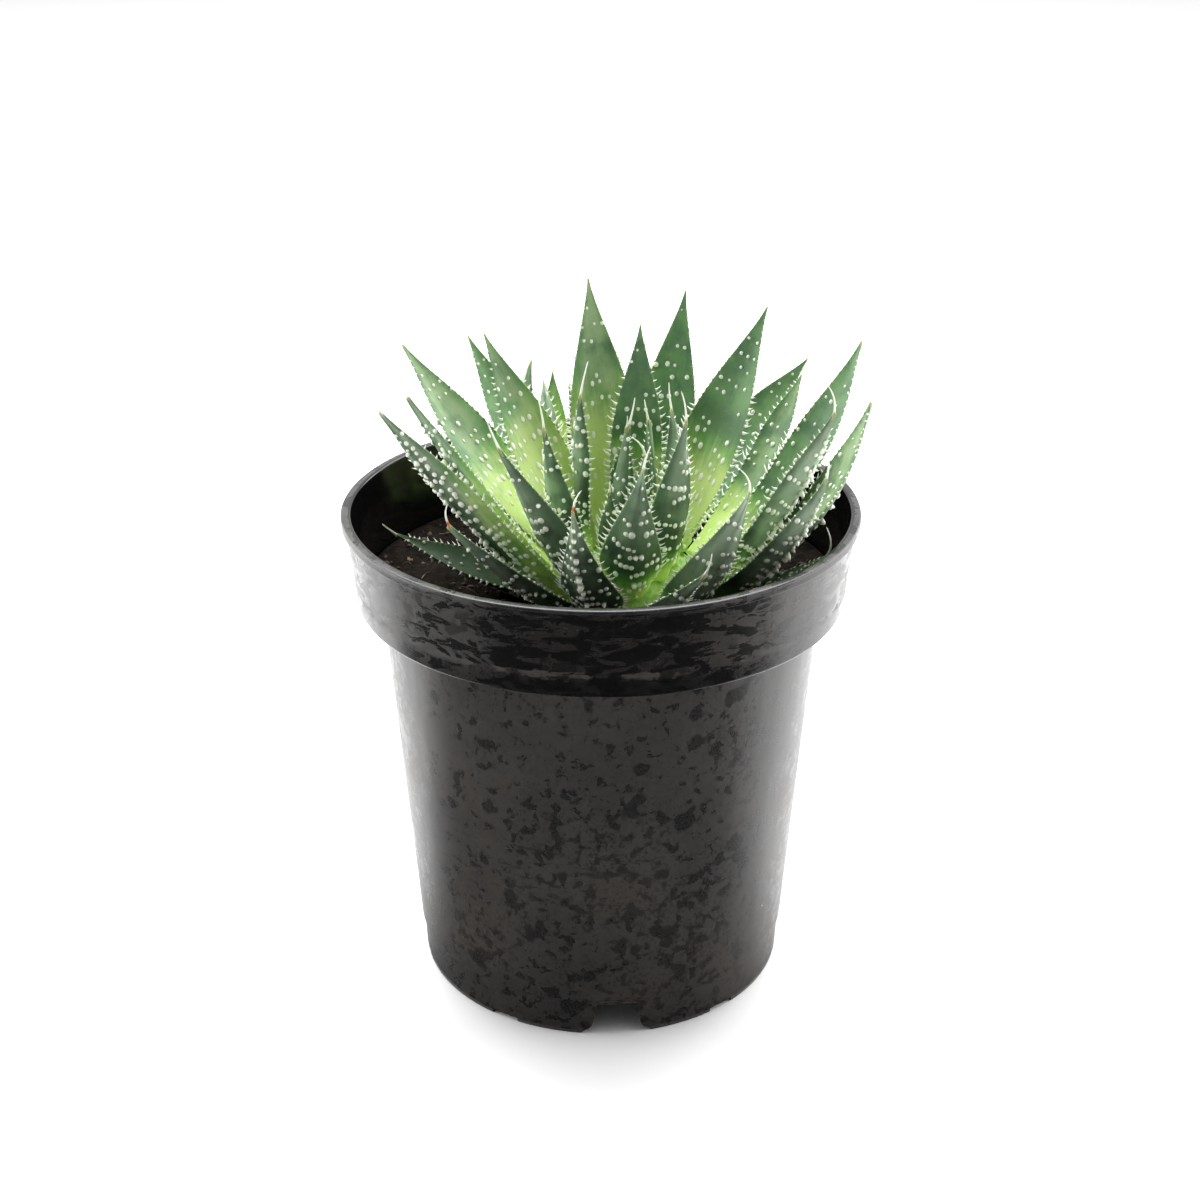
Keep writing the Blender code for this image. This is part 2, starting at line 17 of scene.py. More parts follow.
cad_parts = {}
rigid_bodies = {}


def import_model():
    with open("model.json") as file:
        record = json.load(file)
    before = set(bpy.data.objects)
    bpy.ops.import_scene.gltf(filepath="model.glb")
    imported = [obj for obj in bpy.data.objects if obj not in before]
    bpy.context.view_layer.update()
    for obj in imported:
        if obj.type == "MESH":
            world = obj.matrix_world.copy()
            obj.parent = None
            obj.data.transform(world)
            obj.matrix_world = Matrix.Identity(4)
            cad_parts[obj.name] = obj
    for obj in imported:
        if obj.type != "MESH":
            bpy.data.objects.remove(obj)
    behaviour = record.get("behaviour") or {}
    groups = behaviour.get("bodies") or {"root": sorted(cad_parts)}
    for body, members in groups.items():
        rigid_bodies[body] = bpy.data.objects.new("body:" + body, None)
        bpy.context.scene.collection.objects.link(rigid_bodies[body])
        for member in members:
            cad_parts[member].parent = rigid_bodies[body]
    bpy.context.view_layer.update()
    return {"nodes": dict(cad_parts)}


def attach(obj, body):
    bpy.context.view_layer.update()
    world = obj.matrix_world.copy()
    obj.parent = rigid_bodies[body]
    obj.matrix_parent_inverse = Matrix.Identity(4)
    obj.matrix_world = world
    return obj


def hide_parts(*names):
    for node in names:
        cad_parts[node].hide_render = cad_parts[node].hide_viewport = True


bl_info = {
    "name": "Potted Aloe",
    "version": (1, 0, 0),
    "blender": (4, 5, 0),
    "location": "3D View > Sidebar > Aloe",
    "description": "Builds a lace-leaved aloe in a nursery pot, with its floor and light",
    "category": "Add Mesh",
}

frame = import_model()

MM = 0.001
FULL_TURN = 2.0 * math.pi
UP = Vector((0.0, 0.0, 1.0))

# ---- Sizes of the plant ----
Crown = namedtuple("Crown", "x y seat radius height")
MAIN = Crown(7.0, -1.0, 95.2, 18.5, 11.0)
OFFSET = Crown(-12.0, 40.0, 99.8, 5.0, 4.0)

# Leaf form: lengths, powers, and shares of a leaf's length or width. The middle line, width and thickness are
# the solid's
WIDEST_AT = 0.36
NECK_SHARE = 0.62
TAPER_WIDTHS = 2.15
TAPER_FROM_LEAST = 0.16
TAPER_POWER = 1.9
TIP_POWER = 1.4
TIP_WIDTH = 0.5 * MM
TIP_THICKNESS = 0.8 * MM
BOWED_LENGTH = 1.04
CHANNEL_SHARE = 0.10
MARGIN = 0.28 * MM
SEAT_GAP = 0.45 * MM
BACK_ROUND, BACK_SHARP = 2.2, 0.95
STATIONS = 56
STATIONS_TO_TIP = 0.35
FACE_LANES = (-1.0, -0.985, -0.94, -0.82, -0.6, -0.32, 0.0, 0.32, 0.6, 0.82, 0.94, 0.985)
BACK_LANES = (1.0, 0.985, 0.94, 0.82, 0.64, 0.44, 0.22, 0.0, -0.22, -0.44, -0.64, -0.82, -0.94, -0.985)
SWELL = 0.35
SWELL_SCALE = 160.0

# Teeth: lengths are millimetres. Each ring of a tooth is its share of the length, its share of the width and
# how white it is
TEETH_FROM, TEETH_TO = 0.06, 0.965
TOOTH_ROOT = 0.25
TOOTH_HALF_WIDTH, TOOTH_HALF_THICKNESS = 0.56, 0.27
TOOTH_RINGS = ((0.0, 1.0, 0.1), (0.22, 0.66, 0.7), (0.58, 0.30, 1.0))
TOOTH_SIDES = 5

# Tubercles: each ring of the dome is its share of the radius, its share of the height and how white it is
DOME_RINGS = ((1.0, -0.25, 0.0), (0.93, 0.22, 0.35), (0.70, 0.66, 0.9), (0.36, 0.93, 1.0))
DOME_SIDES = 8
DOME_HEIGHT, SPINE_HEIGHT = 0.62, 2.1
FADED_HEIGHT, FADED_WHITE = 0.30, 0.70
EDGE_CLEAR = 0.91
# Cross rows of them: where the first row lies, the numbers in a cluster, each as likely, the gaps between
# clusters, the share of places that are filled at the base and at the tip, and their size
Rows = namedtuple("Rows", "first counts gaps fill scale")
FACE_ROWS = Rows(0.10, (1, 1, 2, 2, 3), (2.0 * MM, 4.4 * MM), (0.5, 0.9), 0.90)
BACK_ROWS = Rows(0.05, (1, 2, 3, 3, 4, 5), (1.8 * MM, 3.9 * MM), (0.88, 0.86), 1.06)
FACE_PITCH = 1.8 * MM
TOUCHING_RADII = 1.8
BEADS_FROM, BEADS_TO = 0.08, 0.92
BEAD_PITCH = 2.0 * MM
KEEL_SPINES = 0.6

AWN_STEPS = 12
AWN_SIDES = 6
AWN_RADII = (0.40, 0.10)
RUSTY_STEPS = (3, 4)

# Each leaf: its node, rise, turn, twist, tip, width, thickness and bow as in the solids, then the end of its
# awn from the tip, how far up its bright zone reaches (glow), how strong its grey bloom is (bloom) and how
# much painted shade darkens it deep in the pot, standing in for the shadow there (shade)
Leaf = namedtuple("Leaf", "node rise turn twist tip width thickness bow awn glow bloom shade",
                  defaults=(0.0,))
LEAVES = (
    Leaf("leaf_heart_left", 10, 205, 0, (6.5, -3.5, 137), 6.5, 2.0, 0.40, (1.1, 0, 7.0), 0.2, 0.5),
    Leaf("leaf_heart_right", 12, 20, 0, (10.5, 0.5, 137), 6.0, 2.0, 0.40, (-0.7, 0, 5.2), 0.2, 0.5),
    Leaf("leaf_heart_front", 18, 275, 0, (10.0, -7.0, 131), 7.0, 2.2, 0.40, (-3.6, 0, 5.0), 0.2, 0.4),
    Leaf("leaf_heart_back", 16, 120, 0, (6, 4, 134), 7.0, 2.0, 0.40, (0, 0, 3), 0.4, 0.3),
    Leaf("leaf_heart_side", 26, 240, 0, (2, -13, 125), 8.0, 2.2, 0.40, (0, -1, 3), 0.3, 0.4),
    Leaf("leaf_back_inner", 24, 85, 10, (9, 12, 156), 12.0, 2.6, 0.40, (0, 0, 2), 0.52, 0.30),
    Leaf("leaf_left_upright", 28, 165, 60, (-4.5, -3, 144), 8.0, 2.4, 0.40, (1.6, 0, 8.4), 0.3, 0.5),
    Leaf("leaf_right_slim", 30, 330, -30, (15.5, -9, 143), 8.5, 2.4, 0.40, (-0.5, 0, 6.4), 0.2, 0.7),
    Leaf("leaf_back_tall", 38, 108, -10, (-3, 19, 165), 16, 3.0, 0.40, (-0.3, 0, 2), 0.68, 0.85),
    Leaf("leaf_back_right", 50, 74, 10, (20, 30, 159), 14.5, 3.0, 0.40, (0, 0, 2), 0.45, 0.08),
    Leaf("leaf_right_bright", 38, 32, 35, (38, 13, 160), 17.0, 3.2, 0.40, (0.6, 0, 2), 0.52, 0.05),
    Leaf("leaf_left_wide", 46, 148, -35, (-27, 15, 153), 15.5, 3.0, 0.40, (-0.6, 0, 2), 0.75, 0.85),
    Leaf("leaf_left_dark", 42, 208, 25, (-12.5, -11, 139), 11.0, 2.6, 0.40, (-1.4, -1, 7.6), 0.3, 0.5),
    Leaf("leaf_front_slim", 38, 300, 0, (18.5, -17, 143), 10.5, 2.6, 0.40, (-1.2, -1, 7.4), 0.3, 0.5),
    Leaf("leaf_front_left", 58, 234, 0, (-22, -23, 139), 13.5, 3.0, 0.40, (-2.6, -1, 6.7), 0.28, 0.45),
    Leaf("leaf_front_right", 72, 298.5, -22, (32, -31, 132), 14, 3.0, 0.45, (-2.6, -1, 5.6), 0.45, 1.00),
    Leaf("leaf_front_middle", 52, 268, 0, (9, -30, 137), 15, 3.2, 0.40, (1.6, -1, 5.5), 0.38, 0.42),
    Leaf("leaf_left_high", 62, 156, -25, (-46, 15, 150.5), 15.0, 3.0, 0.40, (-1.2, 0, 1.6), 0.60, 0.80),
    Leaf("leaf_left_behind", 66, 129, -15, (-32, 33, 147), 13.5, 2.8, 0.40, (-1, 1, 2), 0.30, 0.30),
    Leaf("leaf_right_high", 66, 6, 40, (59, 6, 154), 14.5, 3.0, 0.45, (0.5, 0, 1.8), 0.35, 0.16),
    Leaf("leaf_right_behind", 67, 56, 20, (50, 34, 141), 11.5, 2.8, 0.48, (1, 1, 2), 0.30, 0.25),
    Leaf("leaf_right_awned", 64, 338, -40, (51, -16.5, 145), 11.5, 3.0, 0.50, (-1.9, 0, 6.3), 0.40, 1.00),
    Leaf("leaf_back_low", 70, 92, 0, (9, 47, 139), 13.0, 2.8, 0.40, (0, 1, 2), 0.4, 0.4),
    Leaf("leaf_left_keeled", 62, 190, 30, (-43, -6, 145), 12.5, 3.0, 0.40, (-1, 0, 2), 0.66, 1.00),
    Leaf("leaf_left_long", 67, 212, 35, (-48, -19, 146), 14.0, 3.2, 0.40, (-1, 0, 2), 0.52, 0.70),
    Leaf("leaf_front_low", 74, 249, 0, (-6, -38, 130.5), 15.5, 3.0, 0.40, (1.9, -1, 5), 0.05, 0.50),
    Leaf("leaf_left_awned", 78, 228, 0, (-33, -30, 124), 11.0, 2.6, 0.40, (0, -1, 5.2), 0.2, 0.8),
    Leaf("leaf_left_under", 76, 166, -10, (-47, 12, 129), 11.0, 2.6, 0.40, (-1, 0, 2), 0.3, 0.6),
    Leaf("leaf_left_lowest", 80, 193, -55, (-46, -14, 115), 15, 2.6, 0.40, (-3.2, -1, 3), 0.1, 0.2, 0.80),
    Leaf("leaf_right_side", 65, 31, 25, (47.5, 23, 140.5), 7.5, 2.6, 0.48, (0.4, 0, 2), 0.45, 0.60),
    Leaf("leaf_right_edge", 75, 351, 35, (60, -7, 144), 12.5, 2.8, 0.52, (0, 0, 3), 0.30, 1.00),
    Leaf("leaf_right_front", 74, 325.5, -25, (48.5, -28, 134), 12, 3.0, 0.55, (0, -1, 6.2), 0.35, 1.00),
    Leaf("leaf_front_small", 80, 279, 10, (22, -42, 117.5), 8.5, 2.2, 0.40, (1.4, -1, 5.3), 0.2, 0.8),
    Leaf("leaf_right_lowest", 83, 338, 0, (50.5, -19, 112), 7, 2.4, 0.43, (-0.4, 0, 7), 0.1, 0.2, 0.45),
    Leaf("leaf_back_right_low", 78, 32, 0, (47, 27, 119), 12.0, 2.6, 0.40, (1, 0, 2), 0.3, 0.6),
    Leaf("leaf_back_lowest", 80, 71, 0, (26, 48, 122), 12.0, 2.6, 0.40, (1, 1, 2), 0.3, 0.6),
    Leaf("leaf_back_outer", 79, 145, 0, (-45, 27, 117), 11, 2.6, 0.40, (-1, 0, 2), 0.3, 0.6),
)
OFFSET_LEAVES = (
    Leaf("offset_leaf_left", 40, 180, 70, (-17, 38, 139.5), 5.0, 2.0, 0.40, (-0.3, 0, 1), 0.8, 0.9),
    Leaf("offset_leaf_front", 40, 270, 0, (-14, 33, 136), 5.0, 2.0, 0.40, (0, 0, 1), 0.8, 0.9),
    Leaf("offset_leaf_back", 40, 90, 0, (-12, 42, 135), 7.0, 2.2, 0.40, (0, 0, 1), 0.8, 0.9),
    Leaf("offset_leaf_right", 40, 0, -70, (-8, 38, 133), 5.0, 2.0, 0.40, (0.2, 0, 1), 0.8, 0.9),
)
RUSTY_AWNS = ("leaf_front_low", "leaf_left_awned")
# Leaves with a sharp keel all the way down
KEELED = ("leaf_left_long", "leaf_left_keeled", "leaf_front_low", "leaf_right_front", "leaf_right_awned")
# Leaves with a line of beads down the back, and where it runs across the width; the flank above it is painted
# paler and greener as painted light, and the one below darker as painted shade
BEAD_LINES = {"leaf_left_long": 0.42, "leaf_left_keeled": 0.48}
LEAF_SKIN = "aloe leaf skin"
ROSETTE_SEED, OFFSET_SEED = 101, 201

# ---- Sizes of the pot and the soil, in millimetres ----
# Each corner of the pot's section: radius, height and rounding, from the middle of the floor's underside
# out, up and back in
POT_CORNERS = (
    (0.0, 9.2, 0.0), (42.4, 9.2, 0.4), (42.4, 0.0, 0.2), (44.2, 0.0, 0.35), (44.7, 9.6, 0.1),
    (45.2, 10.0, 0.2), (51.4, 94.2, 0.6), (52.0, 95.6, 0.5), (56.8, 95.6, 0.5), (57.2, 96.2, 0.25),
    (58.9, 115.0, 0.35), (60.0, 115.1, 0.3), (60.0, 117.0, 0.75), (57.6, 117.0, 0.5), (55.9, 96.9, 0.4),
    (50.1, 96.9, 0.4), (43.9, 10.5, 0.4), (0.0, 10.5, 0.0),
)
ROUNDING_STEPS = 4
WALL_SWAY = 0.25
SHARP_ANGLE = math.radians(50.0)
DRAIN_GAPS = 3
FIRST_GAP_ANGLE = math.radians(-85.3)
FOOT_STEP_ANGLE = math.radians(36.0)
GAP_OUTLINE = ((-8.3, -2.0), (8.3, -2.0), (8.3, 0.0), (8.0, 0.5), (7.4, 1.0), (6.6, 1.4), (6.0, 2.0),
               (5.7, 2.8), (4.9, 7.8), (4.5, 8.6), (-4.5, 8.6), (-4.9, 7.8), (-5.7, 2.8), (-6.0, 2.0),
               (-6.6, 1.4), (-7.4, 1.0), (-8.0, 0.5), (-8.3, 0.0))
STEP_OUTLINE = ((-3.5, -2.0), (3.5, -2.0), (3.5, 1.1), (-3.5, 1.1))
CUT_FROM, CUT_TO = 38.0, 48.0
FLOOR_HOLE_RADIUS = 3.5
FLOOR_HOLE_PLACE = (30.0 * MM, 0.0, 9.85 * MM)
FLOOR_HOLE_DEPTH = 5.0

SOIL_TOP = 98.4
SURFACE_DROP = 0.6
SOIL_RIM = 55.6
SOIL_SECTION = ((0.3, 10.8), (43.6, 10.8), (49.8, 97.2), (SOIL_RIM, 97.2))
SOIL_SIDES = 220
SOIL_STEPS = 58
HOLLOW_RADIUS = 32.0
HOLLOW_SLOPE = 9.6
HOLLOW_DEPTH = 4.0
SOIL_SEED = 8
CROWN_CLEAR = 21.0
FIBRE_REACH, CRUMB_REACH = 52.0, 54.0
WALL_REACH = 54.6
FIBRE_STEPS = 6
TUFT_X, TUFT_Y = (-50.0, -42.0), (-20.0, -4.0)
CRUMBS = 420
CRUMB_LEVELS = ((-0.5, 0.5), (0.0, 1.0), (0.45, 0.55))

# ---- Colours and places of the finishes ----
BELT_GREEN = (0.035, 0.105, 0.035)
STREAK_CREAM = (0.66, 0.74, 0.34)
TIP_BROWN = (0.46, 0.42, 0.18)
EDGE_GREEN = (0.38, 0.52, 0.24)
FLECK_GREEN = (0.30, 0.45, 0.22)
# Painted shade: the green and the cream that a leaf deep in the pot is darkened towards
SHADED_GREEN = (0.012, 0.030, 0.014)
SHADED_CREAM = (0.10, 0.14, 0.08)
AWN_RUST = (0.55, 0.13, 0.02)
DUST_BROWN = (0.046, 0.037, 0.029)
DIRT_CREAM = (0.60, 0.52, 0.40)
BARK_BROWN = (0.045, 0.028, 0.016)
ROOT_BROWN, COIR_TAN = (0.035, 0.022, 0.013), (0.34, 0.23, 0.12)
STEM_BROWN = (0.16, 0.10, 0.05)
CARD_BLACK, CARD_WHITE = (0.005, 0.005, 0.005), (0.90, 0.90, 0.90)

# Heights on the pot in millimetres, each from where a change starts to where it is whole
RUN_MARKS_TOP, RUN_MARKS_FOOT = (58.0, 50.0), (30.0, 38.0)
DENSE_BELOW = (58.0, 30.0)
COLLAR_FROM = (95.0, 96.5)
COLLAR_FOOT = (103.0, 97.0)
DUST_LINE_FOOT, DUST_LINE_TOP = (99.6, 100.4), (101.8, 101.0)
INSIDE_FROM = (96.0, 97.5)
# Radius of the middle of the wall above the soil: this much, and this share of the height
WALL_MIDDLE, WALL_SLOPE = 48.11, 0.0875
# Square of the distance from the pot's middle plane where the collar's painted dark middle, a painted dark
# reflection, ends and where it is whole
PAINTED_DARK_MIDDLE = (1000.0, 150.0)
DROP_SCALE = 0.17
STEM_FOOT = (99.0, 95.0)


# ---- Materials ----
def operation(name, swapped=False):
    """A method of Value that adds a Math node."""
    def method(value, other):
        terms = (other, value) if swapped else (value, other)
        return value.graph.node("ShaderNodeMath", {"operation": name}, dict(enumerate(terms)))
    return method


class Value:
    """A socket that takes part in Python arithmetic: each operation adds its Math node."""

    def __init__(self, graph, socket):
        self.graph = graph
        self.socket = socket

    __add__ = __radd__ = operation("ADD")
    __sub__ = operation("SUBTRACT")
    __rsub__ = operation("SUBTRACT", swapped=True)
    __mul__ = __rmul__ = operation("MULTIPLY")
    __truediv__ = operation("DIVIDE")
    __pow__ = operation("POWER")
    most = operation("MAXIMUM")

    def step(self, low, high):
        """0 below low, 1 above high, and a smooth rise between them; falls where low is the larger."""
        inputs = {"Value": self, "From Min": low, "From Max": high}
        return self.graph.node("ShaderNodeMapRange", {"interpolation_type": "SMOOTHSTEP"}, inputs)


class Graph:
    """Makes the nodes of one tree."""

    def __init__(self, tree):
        self.tree = tree

    def node(self, kind, settings=None, inputs=None, output=0):
        """A node of any kind: its settings are set first, then its sockets are set or linked."""
        made = self.tree.nodes.new(kind)
        for key, value in (settings or {}).items():
            setattr(made, key, value)
        for key, value in (inputs or {}).items():
            if isinstance(value, Value):
                self.tree.links.new(value.socket, made.inputs[key])
            else:
                made.inputs[key].default_value = value
        return Value(self, made.outputs[output])

    def attribute(self, name):
        return self.node("ShaderNodeAttribute", {"attribute_name": name}, output="Fac")

    def place(self, stretch=(1.0, 1.0, 1.0)):
        """The point's place in the object, in millimetres, stretched."""
        coordinates = self.node("ShaderNodeTexCoord", output="Object")
        scale = tuple(factor / MM for factor in stretch)
        return self.node("ShaderNodeMapping", None, {"Vector": coordinates, "Scale": scale})

    def axis(self, vector, name):
        """One number of a vector: its X, Y or Z."""
        return self.node("ShaderNodeSeparateXYZ", None, {"Vector": vector}, name)

    def cloud(self, vector, scale, detail=3.0, roughness=0.5, distortion=0.0):
        inputs = {"Vector": vector, "Scale": scale, "Detail": detail, "Roughness": roughness,
                  "Distortion": distortion}
        return self.node("ShaderNodeTexNoise", None, inputs)

    def cells(self, vector, scale, output="Distance"):
        return self.node("ShaderNodeTexVoronoi", None, {"Vector": vector, "Scale": scale}, output)

    def blend(self, mask, low, high):
        """Two colours mixed by a mask; a plain colour is three numbers."""
        ends = [end if isinstance(end, Value) else (*end, 1.0) for end in (low, high)]
        return self.node("ShaderNodeMix", {"data_type": "RGBA"}, {0: mask, 6: ends[0], 7: ends[1]}, 2)

    def coats(self, color, *coats):
        """A colour under further ones, each a mask and its colour, the topmost last."""
        for mask, coat in coats:
            color = self.blend(mask, color, coat)
        return color

    def bump(self, height, distance, strength):
        inputs = {"Height": height, "Distance": distance, "Strength": strength}
        return self.node("ShaderNodeBump", None, inputs)


class Finish(Graph):
    """A material: the nodes round its Principled shader."""

    def __init__(self, name, **constants):
        self.material = bpy.data.materials.new(name)
        self.material.use_nodes = True
        super().__init__(self.material.node_tree)
        self.shader = self.tree.nodes["Principled BSDF"]
        for key, value in constants.items():
            self.shader.inputs[key.replace("_", " ")].default_value = value

    def feed(self, **links):
        """Link values to the shader's own sockets."""
        for key, value in links.items():
            self.tree.links.new(value.socket, self.shader.inputs[key.replace("_", " ")])
        return self.material


# Point values of a leaf's mesh, which its skin reads. Spot, tooth and rust are 1 on a tubercle, on a tooth or
# awn, and on a rusty stretch of awn. Lane and reach are across and along in millimetres
# Painted shade is how far a leaf deep in the pot is darkened, as painted shadow
VALUE_NAMES = ("along", "across", "face", "spot", "tooth", "rust", "glow", "bloom", "shade", "lane",
               "reach")


def leaf_skin_material(settings):
    """Leaf skin: green with a grey bloom, a bright zone below, pale edges, cream tubercles, white teeth."""
    graph = Finish(LEAF_SKIN, Roughness=0.5, Subsurface_Weight=0.12, Subsurface_Scale=0.0012,
                   Subsurface_Radius=(0.9, 1.0, 0.25))
    along, across, face, spot, tooth, rust, glow, bloom, shade, lane, reach = (
        graph.attribute(name) for name in VALUE_NAMES)
    grain = graph.node("ShaderNodeCombineXYZ", None, {"X": lane, "Y": reach * 0.07, "Z": bloom * 9.0})
    place = graph.place()
    streaks = graph.cloud(grain, 1.3, 4.0, 0.6)
    patches = graph.cloud(place, 0.14, 3.0, 0.55)
    fine = graph.cloud(place, 1.1, 3.0, 0.6)
    streaky, patchy = streaks - 0.5, patches - 0.5
    middle = across.step(1.0, 0.35)

    fresh = graph.blend((patches + streaky * 0.2).step(0.3, 0.7), settings.face_green, settings.mid_green)
    back = graph.blend((patches + along * 0.25).step(0.45, 0.75), settings.dark_green, settings.back_green)
    lush = (glow * 1.6).step(0.15, 0.9) * (1.0 - glow.step(0.55, 1.0))
    haze = (along + face * 0.15 + bloom * 0.25 - 0.25).step(0.05, 0.60) * (0.30 + middle * 0.70)
    haze = haze * (0.90 - face * 0.29 + patchy * 1.8 + streaky * 0.4)
    wax = graph.blend(face, settings.bloom_grey, settings.bloom_pale)
    belt = glow.step(0.0, 0.15) * (1.0 - glow.step(0.20, 0.60)) * (1.0 - bloom) * face
    zone = (glow + streaky * 0.3 + patchy * 0.6).step(0.30, 1.05) * glow.step(0.02, 0.35)
    color = graph.coats(
        graph.blend(face, back, fresh),
        (lush * 0.75, settings.lush_green),
        ((haze * bloom).step(0.0, 0.80), wax),
        (belt * 0.6, BELT_GREEN),
        (zone, settings.base_green),
        (streaks.step(0.50, 0.72) * 0.30 * zone, STREAK_CREAM),
        (along.step(0.980, 1.0) * 0.7, TIP_BROWN),
        (across.step(0.95, 0.995) * 0.28, EDGE_GREEN),
        (fine.step(0.62, 0.72) * 0.25 * middle, FLECK_GREEN),
        # Painted shade: a leaf deep in the pot is darkened towards a shadowed green, and its tubercles and
        # teeth are dimmed with it
        (shade, SHADED_GREEN),
        (spot.step(0.05, 0.80), graph.blend(shade * 0.7, settings.tubercle_cream, SHADED_CREAM)),
        (tooth.step(0.10, 0.55) * (1.0 - shade * 0.5), settings.tooth_white),
        (rust, AWN_RUST),
    )
    rough = 0.56 - 0.06 * face + (fine - 0.5) * 0.2
    relief = graph.bump(fine * 0.6 + streaks * 0.2, 0.00014, 0.5)
    return graph.feed(Base_Color=color, Roughness=rough, Normal=relief)


def pot_material(settings):
    """Pot plastic: black and glossy under a thin dusty film, which dried drops and streaks leave open."""
    graph = Finish("nursery pot plastic", Roughness=0.4, Specular_IOR_Level=0.4)
    spots = graph.place()
    height, side, depth = (graph.axis(spots, name) for name in "ZXY")
    radius = (side * side + depth * depth) ** 0.5
    warp = graph.cloud(spots, 0.30)
    broad = graph.cloud(spots, 0.035, 2.0)
    dense = graph.cloud(spots, 0.032, 1.5).step(0.45, 0.58).most(height.step(*DENSE_BELOW) * 0.7)

    # Round drops, larger islands and blots, fine specks, and run marks halfway up
    wobble = graph.node("ShaderNodeVectorMath", {"operation": "ADD"}, {0: spots, 1: warp * 4.5})
    size = graph.axis(graph.cells(wobble, DROP_SCALE, "Color"), "X")
    drops = (graph.cells(wobble, DROP_SCALE) / (size * size * 0.34 + 0.03)).step(1.08, 0.86)
    islands = (graph.cloud(spots, 0.33, 3.5, 0.58, 0.4) + dense * 0.065).step(0.590, 0.635)
    blots = graph.cloud(spots, 0.095, 3.0, 0.45).step(0.640, 0.665)
    specks = (graph.cloud(spots, 1.15, 2.5, 0.55) + dense * 0.06).step(0.635, 0.675)
    runs = graph.cloud(graph.place((0.35, 0.35, 1.5)), 0.50, 4.0, 0.6, 0.6).step(0.57, 0.63)
    runs = runs * height.step(*RUN_MARKS_TOP) * height.step(*RUN_MARKS_FOOT)
    mottle = graph.cloud(spots, 0.75, 5.0, 0.7)

    # The collar is washed in level streaks under a line of dust; in its middle, at the front and the back, it
    # has more streaks and is painted darker as a painted dark reflection
    collar = height.step(*COLLAR_FROM)
    ripple = graph.cloud(graph.place((0.34, 0.34, 1.0)), 0.42, 4.0, 0.6, 0.8)
    painted_dark_middle = (side * side).step(*PAINTED_DARK_MIDDLE)
    washed = (ripple + painted_dark_middle * 0.06 - 0.055).step(0.460, 0.505) * collar
    line = (ripple - 0.5) * 5.0 + height
    dust_line = (line.step(*DUST_LINE_FOOT) * line.step(*DUST_LINE_TOP)
                 * graph.cloud(spots, 0.2, 2.0).step(0.42, 0.55))
    open_film = drops.most(islands).most(blots).most(specks * 0.9).most(runs * 0.9) * (1.0 - collar * 0.4)
    open_film = open_film.most(washed)
    even = 0.62 + broad.step(0.3, 0.7) * 0.25 + (mottle - 0.5) * 0.6
    film = (1.0 - open_film * (0.60 + collar * 0.24)) * even
    # Painted dark reflection: the collar's film thins in its middle
    film = film * (1.0 + collar * (0.15 - painted_dark_middle * 0.85)) * (1.0 - height.step(*COLLAR_FOOT) * collar * 0.6)
    film = film + dust_line * 0.7 * collar
    inside = (height * WALL_SLOPE + WALL_MIDDLE - radius).step(-0.3, 0.3) * height.step(*INSIDE_FROM)
    film = film * (1.0 - inside * 0.97)

    brown = graph.cloud(spots, 0.04, 3.0, 0.6).step(0.42, 0.70) * film * 0.6
    dirt = graph.cells(spots, 0.12).step(0.040, 0.020) * graph.cloud(spots, 0.035, 1.0).step(0.53, 0.58)
    color = graph.coats(graph.blend(film, settings.plastic_black, settings.film_grey),
                        (brown, DUST_BROWN), (dirt, DIRT_CREAM))
    rough = 0.20 + film * 0.18 + mottle * 0.05 - inside * 0.10
    ripples = graph.cloud(graph.place((1.0, 1.0, 0.5)), 0.08, 2.0)
    beads = graph.cells(spots, 0.55).step(0.32, 0.10) * graph.cloud(spots, 0.06, 1.0).step(0.55, 0.62)
    relief = ripples + (mottle * 0.02 + beads * 0.10) * (1.0 - inside)
    return graph.feed(Base_Color=color, Roughness=rough, Normal=graph.bump(relief, 0.0006, 0.35))


def peat_material(settings):
    """Peat: dark brown crumb with paler fibres and bark."""
    graph = Finish("peat crumb", Roughness=0.95, Specular_IOR_Level=0.08)
    place = graph.place()
    crumbs = graph.cloud(place, 0.5, 5.0, 0.65)
    color = graph.coats(graph.blend(crumbs.step(0.35, 0.68), settings.peat_dark, settings.peat_brown),
                        (graph.cloud(place, 1.6).step(0.62, 0.74), BARK_BROWN))
    relief = graph.bump(crumbs + graph.cells(place, 0.6) * 0.5, 0.0006, 0.7)
    return graph.feed(Base_Color=color, Roughness=0.85 + crumbs * 0.15, Normal=relief)


def fibre_material():
    """Coir and root fibres in the peat."""
    graph = Finish("peat fibre", Roughness=0.8)
    tone = graph.cloud(graph.place(), 0.35, 2.0)
    pale = tone.step(0.42, 0.64) * graph.attribute("pale")
    return graph.feed(Base_Color=graph.blend(pale, ROOT_BROWN, COIR_TAN), Roughness=0.7 + tone * 0.2)


def crown_material(settings):
    """The short stem between the leaf bases: pale green, browner where it meets the peat."""
    graph = Finish("crown stem", Roughness=0.6)
    place = graph.place()
    tone = graph.cloud(place, 0.5, 4.0)
    color = graph.coats(graph.blend(tone.step(0.2, 0.9), settings.lush_green, settings.base_green),
                        (graph.axis(place, "Z").step(*STEM_FOOT), STEM_BROWN))
    return graph.feed(Base_Color=color, Roughness=0.55 + tone * 0.2, Normal=graph.bump(tone, 0.0004, 0.5))


def floor_material(settings):
    """A plain pale floor, with a trace of tone in it."""
    graph = Finish("studio floor", Roughness=0.75, Specular_IOR_Level=0.2)
    dim = tuple(channel * 0.99 for channel in settings.floor_color)
    tone = graph.cloud(graph.place(), 0.01, 2.0)
    return graph.feed(Base_Color=graph.blend(tone, dim, settings.floor_color))


def card_material():
    """The card in front of the pot, which only reflections see: black, paler towards the pot."""
    graph = Finish("black card", Roughness=0.9, Specular_IOR_Level=0.0)
    near_pot = graph.axis(graph.place(), "Y").step(322.0, 380.0)
    return graph.feed(Base_Color=graph.blend(near_pot, CARD_BLACK, CARD_WHITE))


